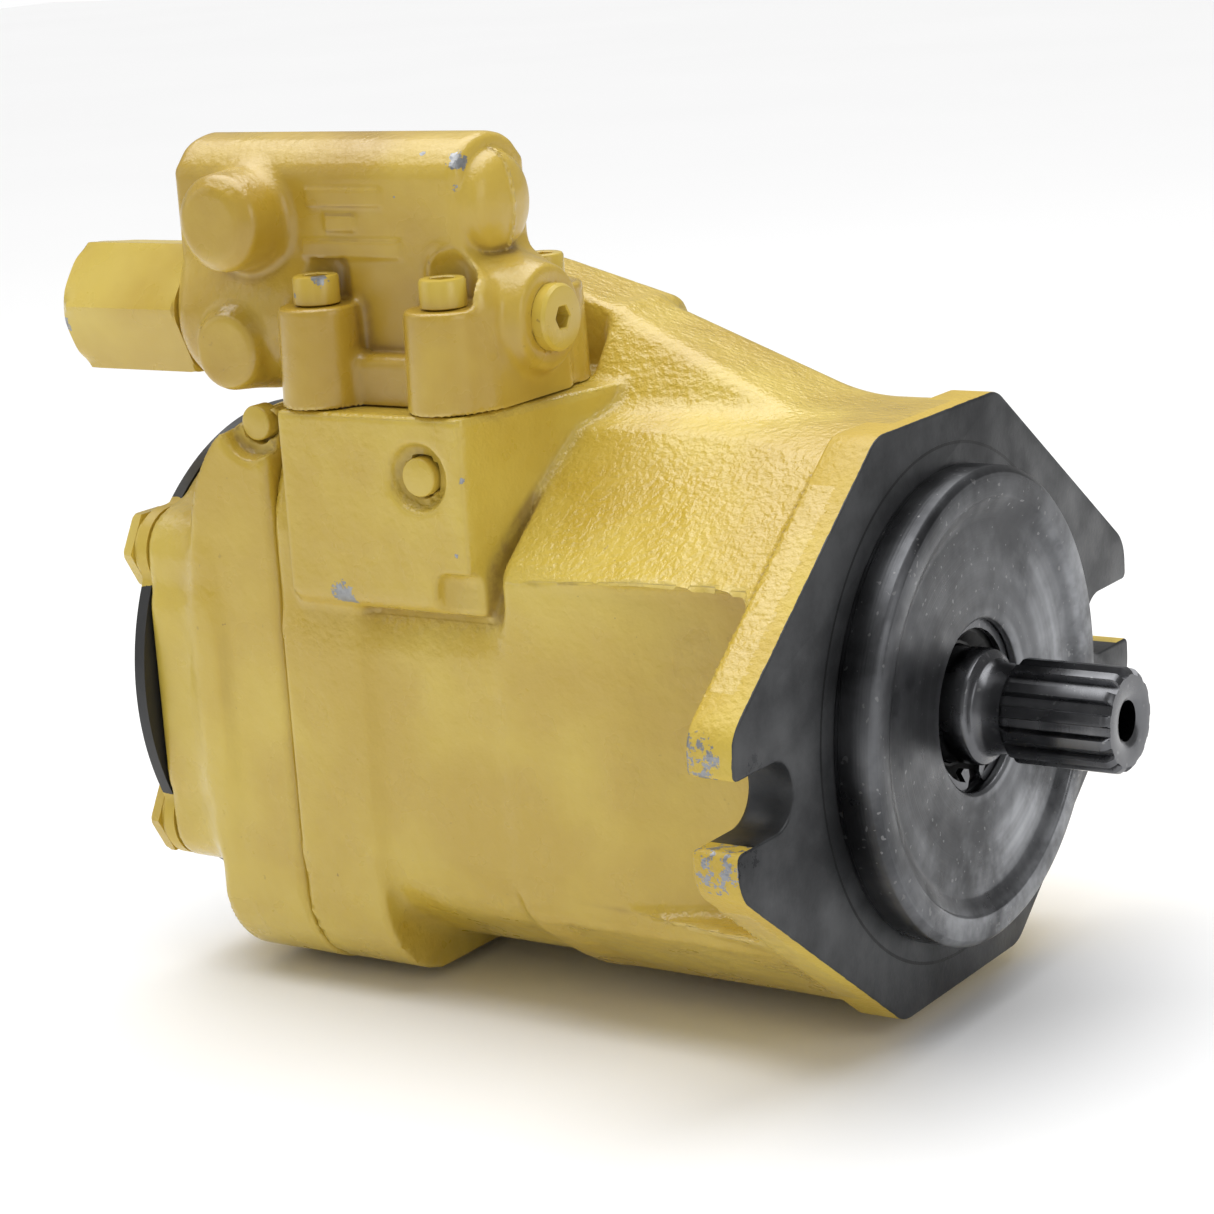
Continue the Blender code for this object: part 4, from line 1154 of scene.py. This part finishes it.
    def front_plug(self) -> None:
        """Makes the plug in the nose, with its socket."""
        turn = 2 * math.pi * np.arange(72) / 72
        socket = hexagon_radius(turn, 4.5)
        rows = [(-84.0, 6.7), (-74.2, 6.7), (-74.2, 7.2), (-71.9, 7.2), (-71.2, 6.6), (-71.1, 6.2)]
        along = np.array([row[0] for row in rows] + [-71.1, -71.4, -76.0])
        radius = np.array([np.full(72, row[1]) for row in rows] + [socket + 0.3, socket, socket])
        piece = turned_piece("nose_plug", "X", (self.y, self.bore), along, radius, SCREW_PAINT)
        settle_piece(piece, "pump", "yellow_paint", "valve_front_plug")

    def adjuster_cap(self) -> None:
        """Makes the hex cap: each ring is the smaller of the hexagon and a domed profile, with the bore behind."""
        columns = 144
        turn = 2 * math.pi * np.arange(columns) / columns
        flats = hexagon_radius(turn, 28.6)
        rows = [(-190.0, 8.0), (-165.1, 8.0), (-165.1, 15.4), (-165.6, 16.3), (-166.7, 18.0), (-194.2, 18.0), (-196.7, 16.6),
                (-198.9, 14.6), (-200.1, 12.9), (-200.6, 11.6), (-200.7, 10.0)]
        along = np.array([row[0] for row in rows])
        dome = np.repeat(np.array([[row[1]] for row in rows]), columns, axis=1)
        radius = melt(np.minimum(flats, 18.0)[None, :], dome, 0.5)
        piece = turned_piece("adjuster_hex_cap", "X", (self.y, self.bore), along, radius, CAP_PAINT,
                             sharp=28.0, phase=math.radians(-6))
        settle_piece(piece, "adjuster", "yellow_paint", "adjuster_cap")


# ---------------------------------------------------------------- flange, pilot, cover and fasteners

@dataclass
class MountingFlange:
    """The flange plate with its open slots, and the pilot with its dished face."""

    thick: float = 11.0
    slot_y: float = 73.0
    slot_r: float = 7.15
    seat_r: float = 47.0
    corners: tuple[tuple[float, float, float], ...] = ((26.5, 62.3, 9.0), (87.5, 16.0, 9.0))

    def half_outline(self) -> Array:
        """The upper half of the outline, from the bottom of the +Y slot over the top to that of the -Y slot.

        Formula: an arc for the slot, its straight wall, then an arc tangent to both sides at each corner.
        """
        turn = np.radians(np.linspace(180, 90, 13))
        slot = np.stack([self.slot_y + self.slot_r * np.cos(turn), self.slot_r * np.sin(turn)], axis=1)
        (ty, tz, tr), (sy, sz, sr) = self.corners
        rim = [(sy, self.slot_r), (sy, sz), (ty, tz), (-ty, tz)]
        lip = fillet(np.array([(self.slot_y, self.slot_r), rim[0], rim[1]], float), 1.6, 5)
        side = fillet(np.array([rim[0], rim[1], rim[2]], float), sr, 9)
        top = fillet(np.array([rim[1], rim[2], rim[3]], float), tr, 9)
        right = np.concatenate([slot, lip, side, top])
        return np.concatenate([right, right[::-1] * (-1, 1)])

    def build(self) -> None:
        """Makes the flange from rings of its outline, and the pilot by turning."""
        upper = self.half_outline()
        outline = np.concatenate([upper, upper[::-1] * (1, -1)])
        count = len(outline)
        ahead, behind = np.roll(outline, -1, axis=0), np.roll(outline, 1, axis=0)
        along = ahead - behind
        length = np.maximum(np.linalg.norm(along, axis=1), 1e-9)[:, None]
        normal = np.stack([along[:, 1], -along[:, 0]], axis=1) / length
        rings = []
        for x, inset in ((-self.thick, 1.2), (-self.thick + 0.4, 0.35), (-self.thick + 1.2, 0.0), (-0.5, 0.0),
                         (-0.15, 0.12), (0.0, 0.45)):
            rings.append(np.column_stack([np.full(count, x), outline - normal * inset]))
        half = count // 2
        arc = np.linspace(0, math.pi, 49)
        inner = np.column_stack([self.seat_r * np.cos(arc), self.seat_r * np.sin(arc)])
        whole = np.concatenate([inner[:-1], inner[:-1] * -1])
        spots = [np.column_stack([np.full(len(whole), x), whole]) for x in (-self.thick, 0.0)]
        points = np.concatenate(rings + spots)
        faces = [[r * count + i, r * count + (i + 1) % count, (r + 1) * count + (i + 1) % count, (r + 1) * count + i]
                 for r in range(len(rings) - 1) for i in range(count)]
        size = len(whole)
        first = [len(rings) * count, len(rings) * count + size]
        for ring, start in ((0, first[0]), (len(rings) - 1, first[1])):
            for part in (0, 1):
                outer = [ring * count + (part * half + i) % count for i in range(half)]
                around = [start + (part * (size // 2) + i) % size for i in range(size // 2 + 1)]
                faces.append(outer + around[::-1])
        faces += [[first[0] + i, first[0] + (i + 1) % size, first[1] + (i + 1) % size, first[1] + i] for i in range(size)]
        for ring, start in ((0, first[0]), (len(rings) - 1, first[1])):
            for part in (0, 1):
                last = ring * count + (part * half + half - 1) % count
                after = ring * count + (part * half + half) % count
                faces.append([last, after, start + ((part + 1) * (size // 2)) % size])
        chips = ((-8.0, -85.0, 11.0, 9.0), (-6.0, -87.0, -10.0, 10.0), (-2.0, -80.0, 8.0, 6.0), (-2.0, -82.0, -8.0, 6.0))
        piece = new_piece("mounting_flange", points, faces, FlangeFinish(chips=chips), sharp=50.0)
        settle_piece(piece, "pump", "yellow_paint", "housing")
        self.pilot()

    def pilot(self) -> None:
        """Turns the pilot: relief at its root, the straight land, the chamfer, the dish and the seal bore."""
        profile = [(-10.5, 26.0), (-10.5, 50.0), (-0.2, 50.0), (0.3, 50.3), (0.9, 50.3), (1.3, 50.8), (8.2, 50.8), (9.5, 49.4),
                   (9.5, 44.6), (9.0, 44.1), (7.3, 40.6), (7.1, 39.6), (7.1, 19.2), (6.5, 18.4), (4.9, 18.4), (4.9, 18.9),
                   (3.2, 18.9), (3.2, 17.7), (-8.1, 17.7), (-8.1, 26.0)]
        piece = lathe("pilot_ring", "X", (0, 0), profile, DARK_STEEL, 256, closed=True)
        settle_piece(piece, "pump", "dark_steel")


def fillet(corner: Array, radius: float, count: int) -> Array:
    """An arc tangent to both sides of a corner.

    Formula: the arc's centre lies on the bisector at the radius over the sine of half the angle between the sides.

    Args:
        corner: The point before, the corner and the point after.
        radius: Radius of the arc.
        count: How many points to give.

    Returns:
        Points of the arc in order.
    """
    before, at, after = corner
    a, b = (before - at) / np.linalg.norm(before - at), (after - at) / np.linalg.norm(after - at)
    half = math.acos(float(np.clip(a @ b, -1, 1))) / 2
    middle = at + (a + b) / np.linalg.norm(a + b) * radius / math.sin(half)
    start, end = at + a * radius / math.tan(half) - middle, at + b * radius / math.tan(half) - middle
    t0, t1 = math.atan2(start[1], start[0]), math.atan2(end[1], end[0])
    sweep = (t1 - t0 + math.pi) % (2 * math.pi) - math.pi
    turn = t0 + sweep * np.linspace(0, 1, count)
    return middle + radius * np.stack([np.cos(turn), np.sin(turn)], axis=1)


@dataclass
class EndCover:
    """The round cover behind the port plate, with an ear at each bolt."""

    disc: float = 57.5
    ear: float = 9.6
    bolts: tuple[Corner, ...] = Housing.bolts

    def rim(self, columns: int) -> Array:
        """The rim's distance in each direction: the disc, or the far side of an ear's circle where that is further."""
        turn = 2 * math.pi * np.arange(columns) / columns
        rim = np.full(columns, self.disc)
        for y, z in self.bolts:
            off = turn - math.atan2(z, y)
            reach = math.hypot(y, z)
            inner = self.ear**2 - (reach * np.sin(off)) ** 2
            far = reach * np.cos(off) + np.sqrt(np.maximum(inner, 0))
            rim = np.where((inner > 0) & (np.cos(off) > 0), -melt(-rim, -far, 2.0), rim)
        return rim

    def build(self) -> None:
        """Makes the cover from rings of its rim, and a bolt through each ear."""
        rim = self.rim(360)
        steps = [(-174.75, 0.5), (-175.0, 1.0), (-177.9, 1.0), (-178.35, 0.985), (-178.5, 0.965), (-178.5, 0.9), (-177.9, 0.885),
                 (-177.9, 0.35), (-178.5, 0.32)]
        along = np.array([x for x, _ in steps])
        radius = np.array([rim * share if share > 0.95 else np.minimum(rim, self.disc) * share for _, share in steps])
        piece = turned_piece("end_cover", "X", (0, 0), along, radius, CoverPaint(ears=self.bolts))
        settle_piece(piece, "pump", "dark_steel", "cover_plate")
        for number, at in enumerate(self.bolts_in_node_order(), 1):
            self.bolt(number, at)

    def bolts_in_node_order(self) -> list[Corner]:
        """Where each CAD bolt stands, from its own box."""
        found = []
        for number in range(1, 5):
            lo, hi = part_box(f"end_bolt_{number}")
            found.append(((lo[1] + hi[1]) / 2 / MM, (lo[2] + hi[2]) / 2 / MM))
        return found

    def bolt(self, number: int, at: Corner) -> None:
        """Makes one bolt: washer face, then a hexagon held within a domed profile, with its shank behind."""
        columns = 96
        turn = 2 * math.pi * np.arange(columns) / columns
        flats = hexagon_radius(turn, 17.0)
        rows = [(-112.0, 4.7), (-178.8, 5.0), (-178.8, 8.6), (-179.4, 8.6), (-179.4, 8.3), (-179.6, 12.0), (-181.0, 12.0),
                (-182.0, 9.4), (-182.4, 8.1), (-182.4, 6.6), (-182.1, 6.2)]
        along = np.array([row[0] for row in rows])
        dome = np.repeat(np.array([[row[1]] for row in rows]), columns, axis=1)
        radius = np.minimum(flats[None, :], dome)
        piece = turned_piece(f"end_bolt_painted_{number}", "X", at, along, radius, PAINT, sharp=28.0)
        settle_piece(piece, "pump", "yellow_paint", f"end_bolt_{number}")


@dataclass
class SidePlugs:
    """Two round plugs, flush in their recesses, on the near side."""

    def build(self) -> None:
        """Turns both plugs."""
        front = [(-52.9, 0.1), (-52.9, 4.2), (-56.5, 4.2), (-56.9, 3.8), (-56.9, 0.1)]
        rear = [(-46.4, 0.1), (-46.4, 3.9), (-50.4, 3.9), (-50.8, 3.5), (-50.8, 0.1)]
        for name, at, profile, node in (("side_plug_front", (-93.0, 55.0), front, "housing_side_plug"),
                                        ("side_plug_rear", (-141.0, 63.3), rear, "port_plate_side_plug")):
            piece = lathe(name, "Y", at, profile[::-1], PAINT, 64)
            settle_piece(piece, "pump", "yellow_paint", node)


# ---------------------------------------------------------------- the drive shaft

@dataclass
class DriveShaft:
    """The shaft with its collar, neck, straight-sided spline and centre hole."""

    teeth: int = 13
    tip: float = 11.1
    root: float = 9.5
    end: float = 41.0

    def tooth(self, turn: Array) -> Array:
        """How far up the flank each direction is: 0 at the root, 1 at the tip, from a steep cosine."""
        return np.clip(0.62 + 2.6 * np.cos(self.teeth * turn), 0, 1)

    def build(self) -> None:
        """Makes the rings: plain ones along the body, then toothed ones, then the centre hole."""
        columns = self.teeth * 20
        turn = 2 * math.pi * np.arange(columns) / columns
        plain = [(-159.0, 8.4), (-158.4, 9.0), (-141.0, 9.0), (-141.0, 12.0), (-26.0, 12.0), (-26.0, 14.5), (-24.3, 14.5),
                 (-24.3, 12.4), (8.2, 12.4), (9.0, 12.1), (9.6, 11.3), (9.8, 10.6), (10.2, 10.2), (12.0, 9.7), (15.6, 9.3)]
        rows = [np.full(columns, radius) for _, radius in plain]
        along = [x for x, _ in plain]
        up = self.tooth(turn)
        for x, tip in ((15.8, 9.35), (16.1, 9.8), (17.0, 10.9), (17.6, 11.1), (39.0, 11.1), (39.7, 11.0), (40.6, 10.3),
                       (41.0, 9.75)):
            low = min(self.root, tip - 0.02)
            rows.append(low + (tip - low) * up)
            along.append(x)
        for x, radius in ((41.0, 9.2), (41.0, 5.9), (40.2, 4.3), (24.0, 4.2), (22.2, 0.4)):
            rows.append(np.full(columns, radius))
            along.append(x)
        piece = turned_piece("splined_shaft", "X", (0, 0), np.array(along), np.array(rows), SHAFT_STEEL, sharp=30.0)
        settle_piece(piece, "rotor", "dark_steel", "shaft")


# ---------------------------------------------------------------- what the model already shapes

class InnerParts:
    """The nodes that keep their own mesh: seals, bearings, rotating group, swash plate, valve spool and springs."""

    finishes: dict[str, Finish] = {"dark_steel": INNER_DARK, "bright_steel": INNER_BRIGHT, "bronze": BRONZE, "black_rubber": RUBBER,
                "yellow_paint": PAINT}

    def slots(self) -> dict[str, str]:
        """The record's material slot of each node."""
        return {part["node"]: part["material_slot"] for part in frame["record"]["subparts"]}

    def build(self) -> None:
        """Dresses every node that is still shown."""
        slots = self.slots()
        for name, node in frame["nodes"].items():
            if node.hide_render:
                continue
            finish = SHAFT_STEEL if name == "seal_retaining_ring" else self.finishes[slots[name]]
            node.data.materials.clear()
            node.data.materials.append(finish.material())
            LOG.info("%s: dressed in %s", name, finish.material().name)


# ---------------------------------------------------------------- the studio

@dataclass
class Studio:
    """A pale sheet, soft lamps and the camera."""

    floor: float = -66.5
    azimuth: float = 34.46
    elevation: float = 13.51
    roll: float = -3.94
    eye: tuple[float, float, float] = (314.16, -583.64, 184.25)
    lens: float = 96.03

    def sheet(self) -> None:
        """Lays the sheet: a grid that lies flat under the pump."""
        side = np.linspace(-4000.0, 4000.0, 9)
        x, y = np.meshgrid(side, side, indexing="ij")
        points = np.stack([x, y, np.full_like(x, self.floor)], axis=-1).reshape(-1, 3)
        cell = np.arange(8)
        i, j = np.meshgrid(cell, cell, indexing="ij")
        first = (i * 9 + j).reshape(-1)
        faces = np.stack([first, first + 9, first + 10, first + 1], axis=1)
        sheet = new_piece("studio_floor", points, faces, Paper(), outward=True)

    def lamp(self, name: str, at: Sequence[float], aim: Sequence[float], size: float, power: float,
             tint: tuple[float, float, float] = (1.0, 1.0, 1.0)) -> None:
        """Hangs a square lamp that looks at a point, both in millimetres."""
        light = bpy.data.lights.new(name, "AREA")
        light.size, light.energy, light.color = size * MM, power, tint
        stand = bpy.data.objects.new(name, light)
        way = Vector(at) - Vector(aim)
        stand.matrix_world = Matrix.Translation(Vector(at) * MM) @ way.to_track_quat("Z", "Y").to_matrix().to_4x4()
        bpy.context.scene.collection.objects.link(stand)

    def camera(self) -> None:
        """Stands the camera by its azimuth, elevation, roll and place."""
        az, el, roll = (math.radians(v) for v in (self.azimuth, self.elevation, self.roll))
        back = Vector((math.sin(az) * math.cos(el), -math.cos(az) * math.cos(el), math.sin(el)))
        level = Vector((math.cos(az), math.sin(az), 0.0))
        upright = back.cross(level)
        right = level * math.cos(roll) + upright * math.sin(roll)
        up = upright * math.cos(roll) - level * math.sin(roll)
        lens = bpy.data.cameras.new("camera")
        lens.lens, lens.sensor_width, lens.clip_end = self.lens, 36.0, 50.0
        stand = bpy.data.objects.new("camera", lens)
        turn = Matrix((right, up, back)).transposed().to_4x4()
        stand.matrix_world = Matrix.Translation(Vector(self.eye) * MM) @ turn
        bpy.context.scene.collection.objects.link(stand)
        bpy.context.scene.camera = stand

    def build(self) -> None:
        """Lays the sheet, hangs the lamps and stands the camera."""
        self.sheet()
        aim = (-70.0, 0.0, 20.0)
        glow = bpy.data.lights.new("ceiling", "SUN")
        glow.energy, glow.angle = 2.4, math.radians(75)
        stand = bpy.data.objects.new("ceiling", glow)
        stand.rotation_euler = (math.radians(-10), math.radians(-12), 0)
        bpy.context.scene.collection.objects.link(stand)
        self.lamp("overhead", (-120, 60, 900), aim, 900, 3.4)
        self.lamp("left", (-900, -500, 420), aim, 600, 0.8)
        self.lamp("right", (800, -250, 380), aim, 500, 1.3)
        self.lamp("front", (150, -1000, 350), aim, 700, 0.4)
        world = bpy.data.worlds.new("studio_air")
        world.use_nodes = True
        air = world.node_tree.nodes["Background"]
        air.inputs["Color"].default_value = (1.0, 1.0, 1.0, 1.0)
        seen = world.node_tree.nodes.new("ShaderNodeLightPath").outputs["Is Camera Ray"]
        glow = world.node_tree.nodes.new("ShaderNodeMath")
        glow.operation = "MULTIPLY_ADD"
        glow.inputs[1].default_value, glow.inputs[2].default_value = 0.70, 0.30
        world.node_tree.links.new(seen, glow.inputs[0])
        world.node_tree.links.new(glow.outputs[0], air.inputs["Strength"])
        bpy.context.scene.world = world
        bpy.context.scene.view_settings.view_transform = "Standard"
        self.camera()


def main() -> None:
    """Builds each sub-assembly in order."""
    logging.basicConfig(level=logging.INFO, format="%(name)s: %(message)s")
    for part in (Housing(), PortPlate(), ValveBlock(), MountingFlange(), EndCover(), SidePlugs(), DriveShaft(), InnerParts(),
                 Studio()):
        part.build()
        LOG.info("%s done", type(part).__name__)


if __name__ == "__main__":
    main()
